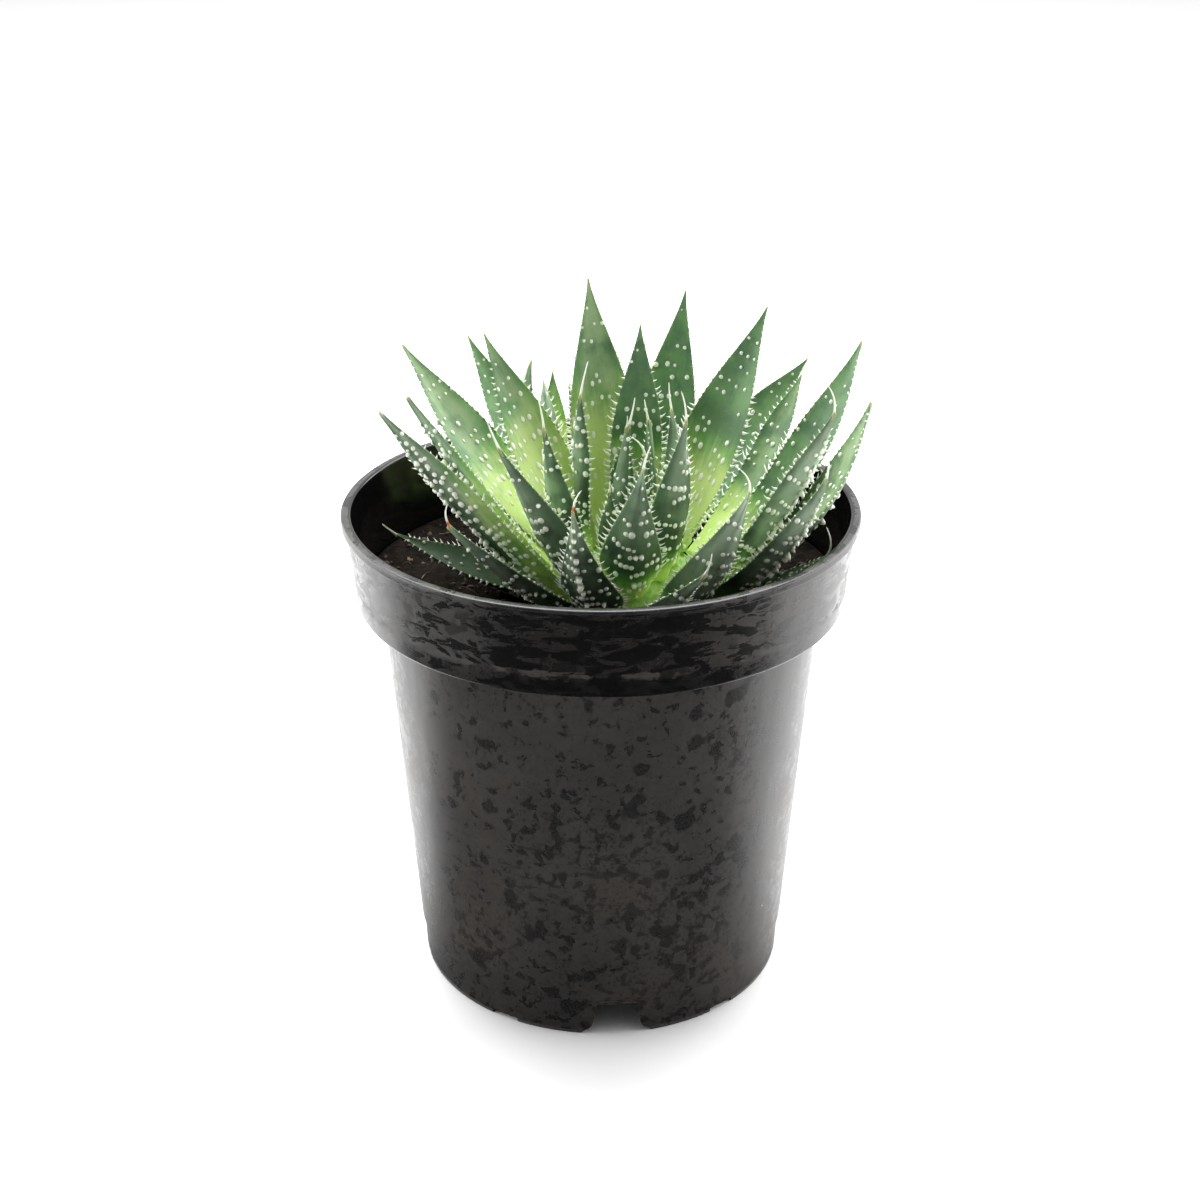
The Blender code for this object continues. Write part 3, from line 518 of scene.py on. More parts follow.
# ---- Meshes ----
class Shells:
    """Points, faces and point values of one mesh, gathered shell by shell."""

    def __init__(self, *names):
        self.names = names
        self.points = []
        self.faces = []
        self.values = []

    def add(self, rings, values=()):
        """A tube through rings of points, closed at both ends; a ring of one point is a tip. The values are
        one tuple for all points, or a list that has for each ring a tuple or a list of tuples."""
        values = [values] * len(rings) if isinstance(values, tuple) else values
        spans = []
        for ring, value in zip(rings, values):
            spans.append((len(self.points), len(ring)))
            self.points.extend(ring)
            self.values.extend(value if isinstance(value, list) else [value] * len(ring))
        for (low, below), (high, above) in zip(spans, spans[1:]):
            count = max(below, above)
            for index in range(count):
                after = (index + 1) % count
                if above == 1:
                    self.faces.append((low + index, low + after, high))
                elif below == 1:
                    self.faces.append((low, high + after, high + index))
                else:
                    self.faces.append((low + index, low + after, high + after, high + index))
        (first, start_count), (last, end_count) = spans[0], spans[-1]
        if start_count > 1:
            self.faces.append(tuple(reversed(range(first, first + start_count))))
        if end_count > 1:
            self.faces.append(tuple(range(last, last + end_count)))

    def build(self, name, material):
        """The finished object, smooth, with each value as a point attribute."""
        mesh = bpy.data.meshes.new(name)
        mesh.from_pydata([tuple(point) for point in self.points], [], self.faces)
        for index, label in enumerate(self.names):
            layer = mesh.attributes.new(label, "FLOAT", "POINT")
            layer.data.foreach_set("value", [value[index] for value in self.values])
        bm = bmesh.new()
        bm.from_mesh(mesh)
        bmesh.ops.recalc_face_normals(bm, faces=bm.faces)
        fill_mesh(mesh, bm)
        mesh.shade_smooth()
        mesh.materials.append(material)
        return place_object(name, mesh)


def fill_mesh(mesh, bm):
    """Put the bmesh's faces into the mesh, and free it."""
    bm.to_mesh(mesh)
    bm.free()
    return mesh


def place_object(name, data):
    """A new object with this data, in the scene."""
    obj = bpy.data.objects.new(name, data)
    bpy.context.scene.collection.objects.link(obj)
    return obj


def carry(piece, slot, *nodes):
    """The piece rides on the part's one body and stands for the solids named, which it hides; the slot is not
    used.
    """
    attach(piece, "root")
    if nodes:
        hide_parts(*nodes)


def smooth(value, low, high):
    """0 below low, 1 above high, and a smooth rise between them."""
    share = min(max((value - low) / (high - low), 0.0), 1.0)
    return share * share * (3.0 - 2.0 * share)


def mix(low, high, share):
    return low + (high - low) * share


def level_heading(angle):
    """The level direction at an angle round Z."""
    return Vector((math.cos(angle), math.sin(angle), 0.0))


def square_to(axis, vector):
    """The part of the vector that is at right angles to the axis, at length 1."""
    return (vector - axis * vector.dot(axis)).normalized()


def on_curve(start, bend, end, share):
    """The place and heading on a curve from start to end that is drawn towards the bend."""
    back = 1.0 - share
    place = start * back ** 2 + bend * 2.0 * back * share + end * share ** 2
    return place, ((bend - start) * back + (end - bend) * share).normalized()


def ring_round(centre, side_a, side_b, count):
    """Points on an ellipse; side_a and side_b are its half axes."""
    turn = FULL_TURN / count
    return [centre + side_a * math.cos(turn * index) + side_b * math.sin(turn * index)
            for index in range(count)]


class LeafForm:
    """A leaf's middle line and its two skins; back is True on the outer one."""

    def __init__(self, leaf, crown):
        self.leaf = leaf
        self.keeled = leaf.node in KEELED
        self.bead_line = BEAD_LINES.get(leaf.node)
        rise = math.radians(leaf.rise)
        level = level_heading(math.radians(leaf.turn))
        radius, height = crown.radius * MM, crown.height * MM
        seat = Vector((crown.x, crown.y, crown.seat)) * MM
        seat += level * radius * math.sin(rise) + UP * height * math.cos(rise)
        outward = (level * math.sin(rise) / radius + UP * math.cos(rise) / height).normalized()
        self.start = seat + outward * SEAT_GAP
        self.end = Vector(leaf.tip) * MM
        reach = (self.end - self.start).length
        self.bend = self.start + outward * reach * leaf.bow
        self.width = leaf.width * MM
        self.thickness = leaf.thickness * MM
        self.length = reach * BOWED_LENGTH

    def axes(self, along):
        """The middle line's place, heading, sideways direction and the direction of the face."""
        place, forward = on_curve(self.start, self.bend, self.end, along)
        turn = math.radians(self.leaf.turn + self.leaf.twist * along)
        side = square_to(forward, Vector((-math.sin(turn), math.cos(turn), 0.0)))
        return place, forward, side, forward.cross(side)

    def half_width(self, along):
        grow = NECK_SHARE + (1.0 - NECK_SHARE) * smooth(along, 0.0, WIDEST_AT)
        taper_from = max(1.0 - TAPER_WIDTHS * self.width / self.length, TAPER_FROM_LEAST)
        fall = max(along - taper_from, 0.0) / (1.0 - taper_from)
        taper = (1.0 - fall ** TAPER_POWER) ** TIP_POWER
        return 0.5 * (TIP_WIDTH + (self.width - TIP_WIDTH) * grow * taper)

    def at(self, along, across, back):
        """A point on the skin."""
        place, _, side, inner = self.axes(along)
        half = self.half_width(along)
        edge = min(abs(across), 1.0)
        depth = mix(self.thickness, TIP_THICKNESS, along)
        margin = MARGIN * math.sqrt(max(1.0 - edge ** 8, 0.0)) * (1.0 - 0.5 * along)
        lift = CHANNEL_SHARE * 2.0 * half * edge ** 2
        if back:
            sharp = smooth(along, 0.02, 0.35) if self.keeled else smooth(along, 0.45, 0.95)
            lift -= depth * mix(1.0 - edge ** BACK_ROUND, (1.0 - edge) ** BACK_SHARP, sharp) + margin
        else:
            lift += margin
        return place + side * half * across + inner * lift

    def normal(self, along, across, back):
        """The direction out of the skin."""
        step = 0.01
        spot = self.at(along, across, back)
        ahead = self.at(along + step, across, back) - spot
        aside = self.at(along, across + step * (1.0 if across < 0.0 else -1.0), back) - spot
        out = ahead.cross(aside).normalized()
        inner = self.axes(along)[3]
        return out if out.dot(-inner if back else inner) > 0.0 else -out


class LeafBuilder:
    """Makes one leaf's mesh: blade, teeth, tubercles and awn."""

    def __init__(self, leaf, crown, settings, seed):
        self.leaf = leaf
        self.form = LeafForm(leaf, crown)
        self.settings = settings
        self.draw = random.Random(seed)
        self.shells = Shells(*VALUE_NAMES)
        self.swell = Vector((seed * 3.7, seed * 1.3, seed * 2.1))

    def glow_at(self, along, face):
        """1 in the bright zone above the base, 0 above it; lower and softer on the back."""
        if face > 0.5:
            return 1.0 - smooth(along, self.leaf.glow * 0.50, self.leaf.glow * 1.25 + 0.05)
        return 1.0 - smooth(along, 0.0, self.leaf.glow * 0.95 + 0.06)

    def values(self, along, across, face, spot=0.0, tooth=0.0, rust=0.0):
        """The point values in the order of VALUE_NAMES."""
        form, glow, bloom = self.form, self.glow_at(along, face), self.leaf.bloom
        # Painted light and shade: on a back with a bead line, the flank above it gets more bloom and the
        # bright zone's green as if lit, and the flank below gets less bloom as if shaded
        if form.bead_line and face < 0.5:
            upper = smooth(across - form.bead_line, -0.06, 0.10)
            bloom *= mix(0.45, 1.2, upper)
            glow = max(glow, 0.66 * upper * (1.0 - smooth(along, 0.55, 1.0)))
        return (along, abs(across), face, spot, tooth, rust, glow, bloom, self.leaf.shade,
                across * form.half_width(along) / MM, along * form.length / MM)

    def blade(self):
        """The leaf itself, a little swollen here and there, with its stations closer towards the tip."""
        rings, rows = [], []
        for index in range(STATIONS):
            along = index / (STATIONS - 1)
            along = mix(along, math.sin(along * math.pi / 2.0), STATIONS_TO_TIP)
            ring, row = [], []
            for lanes, back in ((FACE_LANES, False), (BACK_LANES, True)):
                for across in lanes:
                    spot = self.form.at(along, across, back)
                    inner = self.form.axes(along)[3]
                    lump = noise.noise(spot * SWELL_SCALE + self.swell)
                    swell = lump * SWELL * MM * (1.0 - abs(across) ** 4)
                    ring.append(spot + inner * swell * (1.0 - along))
                    row.append(self.values(along, across, 0.0 if back else 1.0))
            rings.append(ring)
            rows.append(row)
        self.shells.add(rings, rows)

    def tooth(self, along, sign):
        """A tooth on one edge: a flat-sided cone that leans towards the tip of the leaf."""
        form, draw = self.form, self.draw
        _, forward, side, inner = form.axes(along)
        size = mix(0.50, 1.0, smooth(along, 0.05, 0.28)) * mix(1.0, 0.42, smooth(along, 0.50, 0.92))
        size *= draw.uniform(0.70, 1.12)
        direction = (side * sign + inner * draw.uniform(-0.30, 0.45)
                     + forward * draw.uniform(0.0, 0.55)).normalized()
        lean = forward * draw.uniform(0.10, 0.55) + inner * draw.uniform(-0.1, 0.35)
        base = form.at(along, sign, False) - direction * TOOTH_ROOT * MM
        length = self.settings.tooth_length * size + TOOTH_ROOT * MM
        half_width = TOOTH_HALF_WIDTH * MM * (0.45 + 0.55 * size)
        half_thickness = TOOTH_HALF_THICKNESS * MM
        rings, rows = [], []
        for step, share, white in TOOTH_RINGS:
            centre = base + direction * length * step + lean * length * step ** 2
            axis = (direction + lean * 2.0 * step).normalized()
            flat = square_to(axis, forward)
            rings.append(ring_round(centre, flat * half_width * share,
                                    axis.cross(flat) * half_thickness * share, TOOTH_SIDES))
            rows.append(self.values(along, sign, 0.5, tooth=white))
        rings.append([base + direction * length + lean * length])
        rows.append(self.values(along, sign, 0.5, tooth=1.0))
        self.shells.add(rings, rows)

    def teeth(self):
        """Teeth up both edges: small at the base, then large, and smaller again towards the tip."""
        for sign in (-1.0, 1.0):
            along = TEETH_FROM + self.draw.random() * 0.02
            while along < TEETH_TO:
                self.tooth(along, sign)
                pitch = self.settings.tooth_pitch * self.draw.uniform(0.65, 1.35)
                along += pitch * mix(1.0, 0.8, along) / self.form.length

    def tubercle(self, along, across, back, size, point=0.0):
        """A low dome on the skin; point from 0 to 1 draws it out into a short spine."""
        form, face = self.form, 0.0 if back else 1.0
        spot = form.at(along, across, back)
        out = form.normal(along, across, back)
        first = square_to(out, form.axes(along)[1])
        second = out.cross(first)
        faded = self.glow_at(along, face) * (0.4 if back else 1.0)
        radius = self.settings.tubercle_radius * size
        height = radius * mix(DOME_HEIGHT, SPINE_HEIGHT, point) * mix(1.0, FADED_HEIGHT, faded)
        stretch = self.draw.uniform(0.9, 1.25) + 0.7 * faded
        rings, rows = [], []
        for wide, high, white in DOME_RINGS:
            wide = wide * mix(1.0, 0.75, point * high) if high > 0.0 else wide
            centre = spot + out * height * high
            rings.append(ring_round(centre, first * radius * wide * stretch, second * radius * wide,
                                    DOME_SIDES))
            rows.append(self.values(along, across, face, spot=white * mix(1.0, FADED_WHITE, faded)))
        rings.append([spot + out * height])
        rows.append(self.values(along, across, face, spot=mix(1.0, FADED_WHITE, faded)))
        self.shells.add(rings, rows)

    def cluster(self, along, across, back, count, pitch, size, spines=0.0):
        """A short row of tubercles across the leaf, a little out of line."""
        form, draw = self.form, self.draw
        half = form.half_width(along)
        slope = draw.uniform(-0.3, 0.3)
        for index in range(count):
            offset = (index - 0.5 * (count - 1)) * pitch
            aside = across + offset / half
            shift = (offset * slope + draw.uniform(-0.24, 0.24) * MM) / form.length
            if abs(aside) < EDGE_CLEAR and along + shift > 0.03:
                point = draw.uniform(0.6, 1.0) if draw.random() < spines else 0.0
                self.tubercle(along + shift, aside, back, size * draw.uniform(0.70, 1.22), point)

    def rows(self, back, row_pitch, pitch, plan):
        """Cross rows of clusters from near the base to the tip."""
        form, draw, along = self.form, self.draw, plan.first
        while along < 0.95:
            half = form.half_width(along)
            size = plan.scale * mix(1.0, 0.62, smooth(along, 0.65, 1.0)) * draw.uniform(0.85, 1.1)
            across = -half * 0.92 + draw.uniform(0.0, 1.0) * plan.gaps[1]
            while across < half * 0.92:
                count = draw.choice(plan.counts)
                drift = draw.uniform(-0.16, 0.16) * row_pitch / form.length
                if draw.random() < mix(*plan.fill, along):
                    spines = 0.25 if back and abs(across) < 0.25 * half else 0.05
                    middle = across + 0.5 * (count - 1) * pitch
                    self.cluster(along + drift, middle / half, back, count, pitch, size,
                                 spines if back else 0.0)
                across += (count - 1) * pitch + draw.uniform(*plan.gaps)
            along += row_pitch * draw.uniform(0.8, 1.2) / form.length

    def bead_row(self, across, spines):
        """A line of larger tubercles down the back; spines is the share drawn out into points."""
        draw, along = self.draw, BEADS_FROM
        while along < BEADS_TO:
            size = draw.uniform(0.95, 1.40) * mix(1.0, 0.6, smooth(along, 0.6, 1.0))
            point = draw.uniform(0.5, 1.0) if draw.random() < spines else 0.0
            self.tubercle(along, across + draw.uniform(-0.05, 0.05), True, size, point)
            along += BEAD_PITCH * draw.uniform(0.65, 1.4) / self.form.length

    def tubercles(self):
        """Rows on both sides, and a line of beads on a keel and on the line where a back's painted light
        begins.
        """
        settings = self.settings
        self.rows(False, settings.face_row_pitch, FACE_PITCH, FACE_ROWS)
        self.rows(True, settings.back_row_pitch, TOUCHING_RADII * settings.tubercle_radius, BACK_ROWS)
        if self.form.keeled:
            self.bead_row(0.0, KEEL_SPINES)
        if self.form.bead_line:
            self.bead_row(self.form.bead_line, 0.0)

    def awn(self):
        """The dry white awn: a thin curved taper from the tip."""
        form = self.form
        tip, forward, side, _ = form.axes(1.0)
        reach = Vector(self.leaf.awn) * MM
        start = form.at(0.965, 0.0, False) * 0.5 + form.at(0.965, 0.0, True) * 0.5
        bend = tip + forward * reach.length * 0.45
        end = tip + reach
        rings, rows = [], []
        for index in range(AWN_STEPS):
            share = index / AWN_STEPS
            centre, axis = on_curve(start, bend, end, share)
            flat = square_to(axis, side)
            radius = mix(*AWN_RADII, share ** 0.7) * MM
            rings.append(ring_round(centre, flat * radius, axis.cross(flat) * radius, AWN_SIDES))
            rusty = self.leaf.node in RUSTY_AWNS and index in RUSTY_STEPS
            rows.append(self.values(1.0, 0.0, 0.5, tooth=smooth(share, 0.12, 0.4), rust=float(rusty)))
        rings.append([end])
        rows.append(self.values(1.0, 0.0, 0.5, tooth=1.0))
        self.shells.add(rings, rows)

    def build(self, material):
        self.blade()
        self.teeth()
        self.tubercles()
        self.awn()
        return self.shells.build("aloe_" + self.leaf.node, material)


# ---- Settings ----
def size_setting(name, description, default):
    return FloatProperty(name=name, description=description, default=default, unit="LENGTH")


def color_setting(name, description, default):
    return FloatVectorProperty(name=name, description=description, default=default, subtype="COLOR")


class AloePotSettings(bpy.types.PropertyGroup):
    """The pot's finish, and how finely it is turned."""

    sides: IntProperty(name="Sides", description="Flat sides of the turned pot", default=160, min=48)
    plastic_black: color_setting("Plastic", "Colour of the clean plastic", (0.003, 0.003, 0.0032))
    film_grey: color_setting("Film", "Colour of the dusty film", (0.046, 0.043, 0.041))


class AloeSoilSettings(bpy.types.PropertyGroup):
    """The peat's relief and colours."""

    relief: size_setting("Relief", "Height of the crumb", 0.0022)
    fibres: IntProperty(name="Fibres", description="Number of loose fibres", default=150, min=0)
    peat_dark: color_setting("Dark peat", "Colour in the hollows", (0.004, 0.003, 0.002))
    peat_brown: color_setting("Brown peat", "Colour of the crumb", (0.017, 0.012, 0.008))


class AloeLeafSettings(bpy.types.PropertyGroup):
    """Sizes of the teeth and tubercles, and the leaf colours."""

    tooth_pitch: size_setting("Tooth pitch", "Mean distance between teeth", 0.0018)
    tooth_length: size_setting("Tooth length", "Length of the longest teeth", 0.0018)
    tubercle_radius: size_setting("Tubercle radius", "Radius of a white spot", 0.00064)
    face_row_pitch: size_setting("Inner rows", "Distance between rows on the inner face", 0.0034)
    back_row_pitch: size_setting("Outer rows", "Distance between rows on the back", 0.0030)
    face_green: color_setting("Inner green", "Inner face, upper part", (0.075, 0.175, 0.080))
    mid_green: color_setting("Fresh green", "Inner face, fresher patches", (0.150, 0.310, 0.110))
    base_green: color_setting("Base green", "The bright zone above a leaf's base", (0.60, 0.78, 0.24))
    lush_green: color_setting("Lush green", "The fresh green above the bright zone", (0.13, 0.37, 0.06))
    back_green: color_setting("Back green", "Backs of the leaves", (0.055, 0.120, 0.050))
    dark_green: color_setting("Dark green", "Darkest parts of the backs", (0.014, 0.042, 0.018))
    bloom_grey: color_setting("Outer bloom", "The waxy grey film on the backs", (0.33, 0.44, 0.30))
    bloom_pale: color_setting("Inner bloom", "The waxy pale film on the inner faces", (0.33, 0.46, 0.24))
    tubercle_cream: color_setting("Tubercles", "Colour of the white spots", (0.93, 0.96, 0.80))
    tooth_white: color_setting("Teeth", "Colour of teeth and awns", (0.86, 0.88, 0.78))


class AloeStageSettings(bpy.types.PropertyGroup):
    """Floor, light and camera."""

    floor_color: color_setting("Floor", "Colour of the floor", (0.93, 0.93, 0.93))
    surround: FloatProperty(name="Surround", description="Strength of the white surround", default=1.0)
    front: FloatProperty(name="Front", description="Strength of the surround in front of the plant",
                         default=0.2)
    key_power: FloatProperty(name="Key light", description="Power of the large light behind and above",
                             default=30.0, unit="POWER")
    fill_power: FloatProperty(name="Side lights", description="Power of each light at the sides",
                              default=12.0, unit="POWER")
    camera_place: FloatVectorProperty(name="Camera", description="Place of the camera",
                                      default=(0.0, -0.4303, 0.2888), subtype="TRANSLATION")
    camera_pitch: FloatProperty(name="Looks down", description="Angle of the view below the horizon",
                                default=math.radians(24.54), subtype="ANGLE")
    focal_length: FloatProperty(name="Focal length", description="Millimetres on a 36 mm sensor",
                                default=59.9)


# ---- Pot ----
def rounded_section(corners):
    """The section with each corner cut back by its rounding and bent round by a short curve."""
    points = []
    for index, (radius, z, rounding) in enumerate(corners):
        corner = Vector((radius, z))
        if rounding == 0.0:
            points.append(corner)
            continue
        near, far = (corner + (other - corner).normalized() * min(rounding, (other - corner).length * 0.45)
                     for other in (Vector(corners[index - 1][:2]), Vector(corners[index + 1][:2])))
        for step in range(ROUNDING_STEPS + 1):
            share = step / ROUNDING_STEPS
            back = 1.0 - share
            points.append(near * back ** 2 + corner * 2.0 * share * back + far * share ** 2)
    return points


def turned_ring(radius, z, sides):
    """A ring round the pot, where the wall sways a little in and out; at no radius it is one point."""
    if radius == 0.0:
        return [Vector((0.0, 0.0, z * MM))]
    ring = []
    for index in range(sides):
        level = level_heading(FULL_TURN * index / sides)
        spot = Vector((level.x * 1.7, level.y * 1.7, z * 0.02))
        sway = WALL_SWAY * noise.noise(spot) * smooth(z, 5.0, 40.0)
        ring.append(level * (radius + sway) * MM + UP * z * MM)
    return ring


def foot_cutter(outline, angle):
    """A prism across the foot at an angle round the pot."""
    bm = bmesh.new()
    face = bm.faces.new([bm.verts.new(Vector((CUT_FROM, across, up)) * MM) for across, up in outline])
    moved = bmesh.ops.extrude_face_region(bm, geom=[face])["geom"]
    corners = [item for item in moved if isinstance(item, bmesh.types.BMVert)]
    bmesh.ops.translate(bm, verts=corners, vec=((CUT_TO - CUT_FROM) * MM, 0.0, 0.0))
    bmesh.ops.rotate(bm, verts=bm.verts, cent=(0.0, 0.0, 0.0), matrix=Matrix.Rotation(angle, 3, "Z"))
    bmesh.ops.recalc_face_normals(bm, faces=bm.faces)
    return fill_mesh(bpy.data.meshes.new("foot cutter"), bm)


def hole_cutter(angle):
    """A rod through the floor at an angle round the pot."""
    bm = bmesh.new()
    place = Matrix.Rotation(angle, 4, "Z") @ Matrix.Translation(FLOOR_HOLE_PLACE)
    bmesh.ops.create_cone(bm, cap_ends=True, segments=32, radius1=FLOOR_HOLE_RADIUS * MM,
                          radius2=FLOOR_HOLE_RADIUS * MM, depth=FLOOR_HOLE_DEPTH * MM, matrix=place)
    return fill_mesh(bpy.data.meshes.new("floor hole"), bm)


class AloeMakePot(bpy.types.Operator):
    """Turn the nursery pot and cut its drain gaps, foot steps and floor holes"""

    bl_idname = "aloe.make_pot"
    bl_label = "Pot"

    def execute(self, context):
        settings = context.scene.aloe_pot
        shell = Shells()
        shell.add([turned_ring(radius, z, settings.sides) for radius, z in rounded_section(POT_CORNERS)])
        pot = shell.build("nursery_pot", pot_material(settings))
        cutters = bpy.data.collections.new("pot cutters")
        context.scene.collection.children.link(cutters)
        for index in range(DRAIN_GAPS):
            angle = FIRST_GAP_ANGLE + FULL_TURN * index / DRAIN_GAPS
            for mesh in (foot_cutter(GAP_OUTLINE, angle),
                         foot_cutter(STEP_OUTLINE, angle - FOOT_STEP_ANGLE),
                         foot_cutter(STEP_OUTLINE, angle + FOOT_STEP_ANGLE), hole_cutter(angle)):
                cutters.objects.link(bpy.data.objects.new(mesh.name, mesh))
        cut = pot.modifiers.new("Cut", "BOOLEAN")
        cut.operand_type = "COLLECTION"
        cut.collection = cutters
        cut.solver = "EXACT"
        graph = context.evaluated_depsgraph_get()
        pot.data = bpy.data.meshes.new_from_object(pot.evaluated_get(graph))
        pot.modifiers.clear()
        for cutter in list(cutters.objects):
            bpy.data.objects.remove(cutter)
        bpy.data.collections.remove(cutters)
        pot.data.shade_smooth()
        pot.data.set_sharp_from_angle(angle=SHARP_ANGLE)
        carry(pot, "pot_plastic", "pot")
        return {"FINISHED"}


# ---- Soil ----
def soil_height(x, y):
    """Height of the peat's surface, in millimetres: level, sunk round the rosette."""
    away = math.hypot(x - MAIN.x, y - MAIN.y)
    sunk = min(max((HOLLOW_RADIUS - away) / HOLLOW_SLOPE, 0.0), 1.0)
    return SOIL_TOP - SURFACE_DROP - HOLLOW_DEPTH * sunk


def soil_rings(relief):
    """Rings of the peat from the floor up and in over its lumpy top; relief is in millimetres."""
    rings = [ring_round(UP * z * MM, Vector((radius * MM, 0, 0)), Vector((0, radius * MM, 0)), SOIL_SIDES)
             for radius, z in SOIL_SECTION]
    for step in range(SOIL_STEPS):
        radius = SOIL_RIM * (1.0 - step / SOIL_STEPS) ** 0.85
        ring = []
        for index in range(SOIL_SIDES):
            angle = FULL_TURN * index / SOIL_SIDES
            x, y = radius * math.cos(angle), radius * math.sin(angle)
            place = Vector((x, y, 3.0))
            lumps = noise.fractal(place * 0.22, 0.9, 2.1, 4) * 0.5
            crumbs = 0.5 - noise.cell(place * 0.9) * 0.25 - noise.noise(place * 0.8) * 0.4
            z = soil_height(x, y) + relief * (lumps + crumbs * 0.35) * smooth(SOIL_RIM - radius, -0.5, 2.0)
            ring.append(Vector((x, y, z)) * MM)
        rings.append(ring)
    return rings


def soil_spot(draw, reach):
    """A random spot on the peat, away from the crown."""
    while True:
        angle, radius = draw.uniform(0.0, FULL_TURN), reach * math.sqrt(draw.random())
        x, y = radius * math.cos(angle), radius * math.sin(angle)
        if math.hypot(x - MAIN.x, y - MAIN.y) > CROWN_CLEAR:
            return x, y


def add_fibre(shells, draw, tuft):
    """A loose fibre anywhere on the peat, or in the tuft by the left wall."""
    x, y = soil_spot(draw, FIBRE_REACH)
    if tuft:
        x, y = draw.uniform(*TUFT_X), draw.uniform(*TUFT_Y)
    heading = draw.uniform(0.0, FULL_TURN)
    length, radius, lift = draw.uniform(2.5, 8.0), draw.uniform(0.07, 0.20), draw.uniform(0.0, 1.6)
    rings = []
    for step in range(FIBRE_STEPS + 1):
        share = step / FIBRE_STEPS
        heading += draw.uniform(-0.35, 0.35)
        x += math.cos(heading) * length / FIBRE_STEPS
        y += math.sin(heading) * length / FIBRE_STEPS
        if math.hypot(x, y) > WALL_REACH:
            heading += math.pi / 2
            x, y = x * 0.97, y * 0.97
        z = soil_height(x, y) + 0.5 + lift * math.sin(share * math.pi)
        across = Vector((-math.sin(heading), math.cos(heading), 0.0))
        size = radius * MM * (1.0 - 0.6 * share)
        rings.append(ring_round(Vector((x, y, z)) * MM, across * size, UP * size, 5))
    shells.add(rings, (1.0 if tuft else 0.6,))


def add_crumb(shells, draw):
    """A loose crumb of peat, or a paler one of bark."""
    x, y = soil_spot(draw, CRUMB_REACH)
    size = draw.uniform(0.3, 1.1)
    centre = Vector((x, y, soil_height(x, y) + 0.4)) * MM
    turn = draw.uniform(0.0, math.pi)
    first = Vector((math.cos(turn), math.sin(turn), draw.uniform(-0.3, 0.3)))
    second = UP.cross(first).normalized()
    up = first.cross(second).normalized()
    rings = []
    for level, wide in CRUMB_LEVELS:
        sizes = [draw.uniform(0.7, 1.1) * size * wide * MM for _ in range(2)]
        rings.append(ring_round(centre + up * level * size * MM, first * sizes[0] * 1.3,
                                second * sizes[1] * 0.8, 6))
    shells.add(rings, (draw.choice((0.0, 0.1, 0.35)),))


class AloeMakeSoil(bpy.types.Operator):
    """Fill the pot with lumpy peat and lay loose fibres and crumbs on it"""

    bl_idname = "aloe.make_soil"
    bl_label = "Soil"

    def execute(self, context):
        settings = context.scene.aloe_soil
        draw = random.Random(SOIL_SEED)
        fill = Shells()
        fill.add(soil_rings(settings.relief / MM))
        carry(fill.build("peat_fill", peat_material(settings)), "peat", "soil")
        loose = Shells("pale")
        for index in range(settings.fibres):
            add_fibre(loose, draw, index < settings.fibres // 4)
        for _ in range(CRUMBS):
            add_crumb(loose, draw)
        carry(loose.build("peat_fibres", fibre_material()), "peat")
        return {"FINISHED"}


# ---- Plant ----
class AloeMakeCrowns(bpy.types.Operator):
    """Give the two short stems their skin"""

    bl_idname = "aloe.make_crowns"
    bl_label = "Crowns"

    def execute(self, context):
        material = crown_material(context.scene.aloe_leaf)
        for name in ("crown_main", "crown_offset"):
            for slot in frame["nodes"][name].material_slots:
                slot.material = material
        return {"FINISHED"}


def grow_leaves(leaves, crown, settings, first_seed):
    """Build each leaf of a crown, with the next seed for each."""
    material = bpy.data.materials.get(LEAF_SKIN) or leaf_skin_material(settings)
    for seed, leaf in enumerate(leaves, start=first_seed):
        carry(LeafBuilder(leaf, crown, settings, seed).build(material), "leaf_green", leaf.node)


class AloeMakeRosette(bpy.types.Operator):
    """Grow the leaves of the main rosette"""

    bl_idname = "aloe.make_rosette"
    bl_label = "Rosette"

    def execute(self, context):
        grow_leaves(LEAVES, MAIN, context.scene.aloe_leaf, ROSETTE_SEED)
        return {"FINISHED"}


class AloeMakeOffset(bpy.types.Operator):
    """Grow the leaves of the small offset"""

    bl_idname = "aloe.make_offset"
    bl_label = "Offset"

    def execute(self, context):
        grow_leaves(OFFSET_LEAVES, OFFSET, context.scene.aloe_leaf, OFFSET_SEED)
        return {"FINISHED"}


# ---- Stage ----
CARD_PLACE = (0.0, -0.371, 0.001)
CARD_TURN = math.radians(-10.0)
# Where the dark front of the surround begins and is whole, and the heights where its bright horizon ends
FRONT_FROM, ABOVE_HORIZON = (-0.15, -0.75), (0.05, 0.10)
LIGHT_TARGET = (0.0, 0.0, 0.10)
SENSOR_WIDTH = 36.0
FRAME_PIXELS, SHIFT_PIXELS = 1200.0, -1.1


def add_light(name, place, size, power):
    """A soft rectangular light that looks at the plant."""
    data = bpy.data.lights.new(name, "AREA")
    data.shape = "RECTANGLE"
    data.size, data.size_y = size
    data.energy = power
    light = place_object(name, data)
    light.location = place
    light.rotation_euler = (Vector(LIGHT_TARGET) - Vector(place)).to_track_quat("-Z", "Y").to_euler()


def add_sheet(name, size, segments, material):
    """A level square sheet of the stage."""
    bm = bmesh.new()
    bmesh.ops.create_grid(bm, x_segments=segments, y_segments=segments, size=size)
    mesh = fill_mesh(bpy.data.meshes.new(name), bm)
    mesh.materials.append(material)
    sheet = place_object(name, mesh)
    return sheet


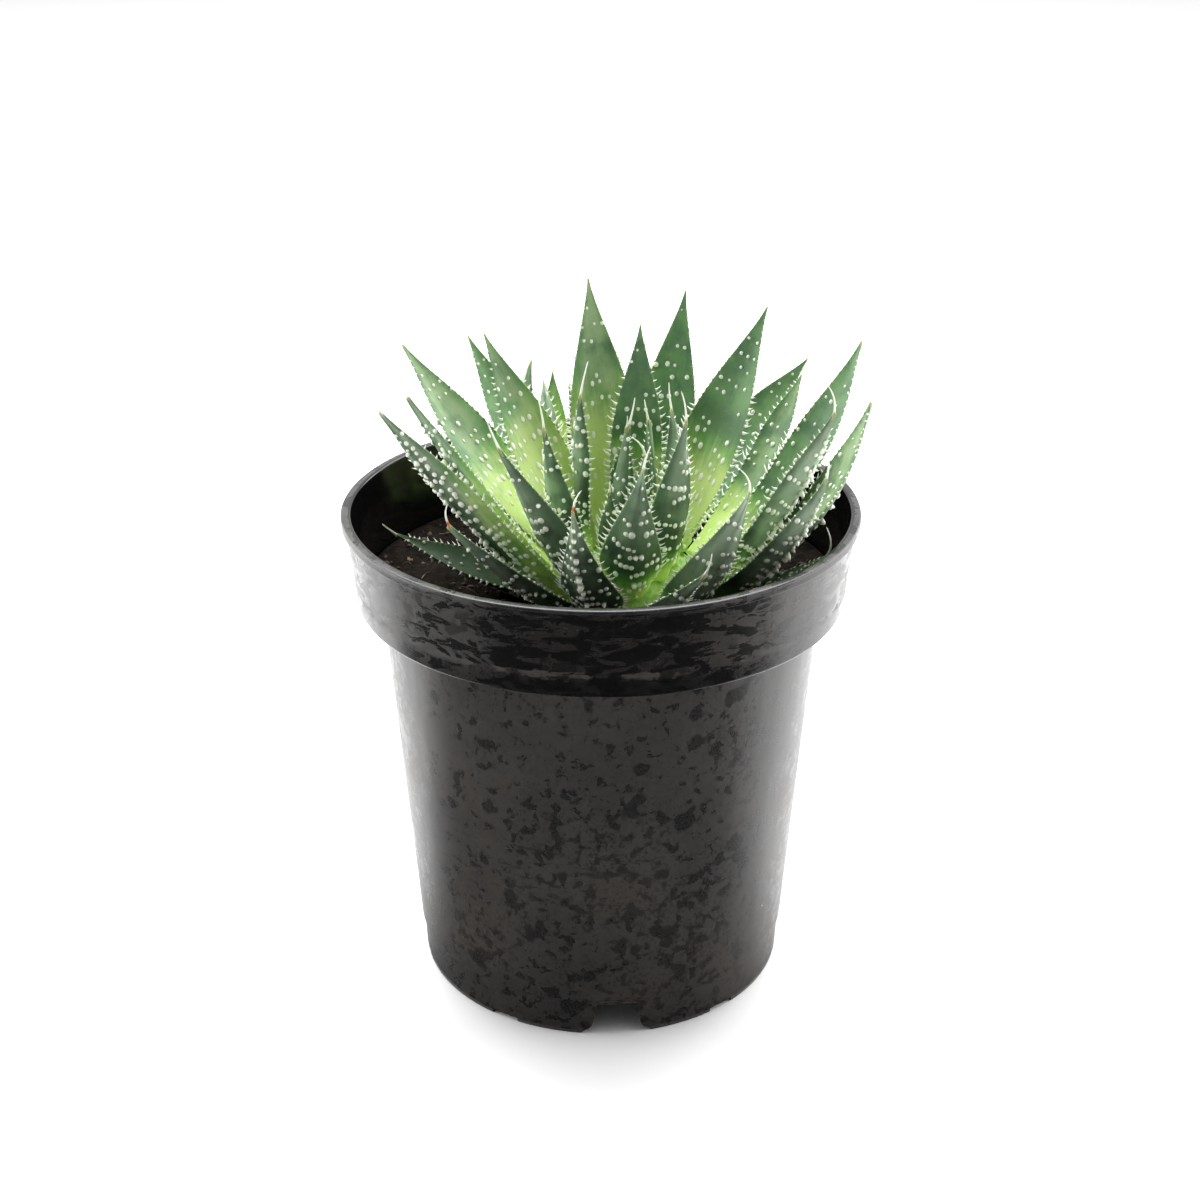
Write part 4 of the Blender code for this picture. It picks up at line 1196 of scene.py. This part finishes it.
class AloeMakeStage(bpy.types.Operator):
    """Lay the floor, set the lights and place the camera"""

    bl_idname = "aloe.make_stage"
    bl_label = "Stage"

    def execute(self, context):
        settings = context.scene.aloe_stage
        add_sheet("floor", 8.0, 8, floor_material(settings))
        # The dark card shows in reflections alone
        card = add_sheet("dark card", 0.38, 2, card_material())
        card.location = CARD_PLACE
        card.rotation_euler = (0.0, 0.0, CARD_TURN)
        for ray in ("camera", "diffuse", "transmission", "volume_scatter", "shadow"):
            setattr(card, "visible_" + ray, False)

        world = bpy.data.worlds.new("surround")
        world.use_nodes = True
        surround = world.node_tree.nodes["Background"]
        surround.inputs["Color"].default_value = (1.0, 1.0, 1.0, 1.0)
        graph = Graph(world.node_tree)
        heading = graph.node("ShaderNodeTexCoord", output="Generated")
        front = graph.axis(heading, "Y").step(*FRONT_FROM) * graph.axis(heading, "Z").step(*ABOVE_HORIZON)
        strength = front * (settings.front - settings.surround) + settings.surround
        world.node_tree.links.new(strength.socket, surround.inputs["Strength"])
        context.scene.world = world
        context.scene.view_settings.view_transform = "Standard"
        add_light("key above and behind", (0.0, 0.6, 1.1), (1.4, 0.8), settings.key_power)
        for side in (-1.0, 1.0):
            add_light("wall of light", (side * 0.9, 0.35, 0.35), (1.2, 0.7), settings.fill_power)

        data = bpy.data.cameras.new("camera")
        data.lens = settings.focal_length
        data.sensor_width = SENSOR_WIDTH
        data.shift_x = SHIFT_PIXELS / FRAME_PIXELS
        data.clip_start = 0.01
        camera = place_object("camera", data)
        camera.location = settings.camera_place
        camera.rotation_euler = (math.radians(90.0) - settings.camera_pitch, 0.0, 0.0)
        context.scene.camera = camera
        return {"FINISHED"}


# Each group of settings with the operators that use it
GROUPS = (
    ("aloe_stage", AloeStageSettings, (AloeMakeStage,)),
    ("aloe_pot", AloePotSettings, (AloeMakePot,)),
    ("aloe_soil", AloeSoilSettings, (AloeMakeSoil,)),
    ("aloe_leaf", AloeLeafSettings, (AloeMakeCrowns, AloeMakeRosette, AloeMakeOffset)),
)


class AloePanel(bpy.types.Panel):
    """Lists the pieces of the potted aloe"""

    bl_idname = "VIEW3D_PT_aloe"
    bl_label = "Potted Aloe"
    bl_space_type = "VIEW_3D"
    bl_region_type = "UI"
    bl_category = "Aloe"

    def draw(self, context):
        for name, _, operators in GROUPS:
            box = self.layout.box()
            settings = getattr(context.scene, name)
            for key in settings.bl_rna.properties.keys():
                if key not in {"rna_type", "name"}:
                    box.prop(settings, key)
            for operator in operators:
                box.operator(operator.bl_idname)


def register():
    for name, settings, operators in GROUPS:
        for cls in (settings, *operators):
            bpy.utils.register_class(cls)
        setattr(bpy.types.Scene, name, PointerProperty(type=settings))
    bpy.utils.register_class(AloePanel)


def unregister():
    bpy.utils.unregister_class(AloePanel)
    for name, settings, operators in reversed(GROUPS):
        delattr(bpy.types.Scene, name)
        for cls in (*operators, settings):
            bpy.utils.unregister_class(cls)


def main():
    register()
    bpy.ops.aloe.make_stage()
    bpy.ops.aloe.make_pot()
    bpy.ops.aloe.make_soil()
    bpy.ops.aloe.make_crowns()
    bpy.ops.aloe.make_rosette()
    bpy.ops.aloe.make_offset()


if __name__ == "__main__":
    main()
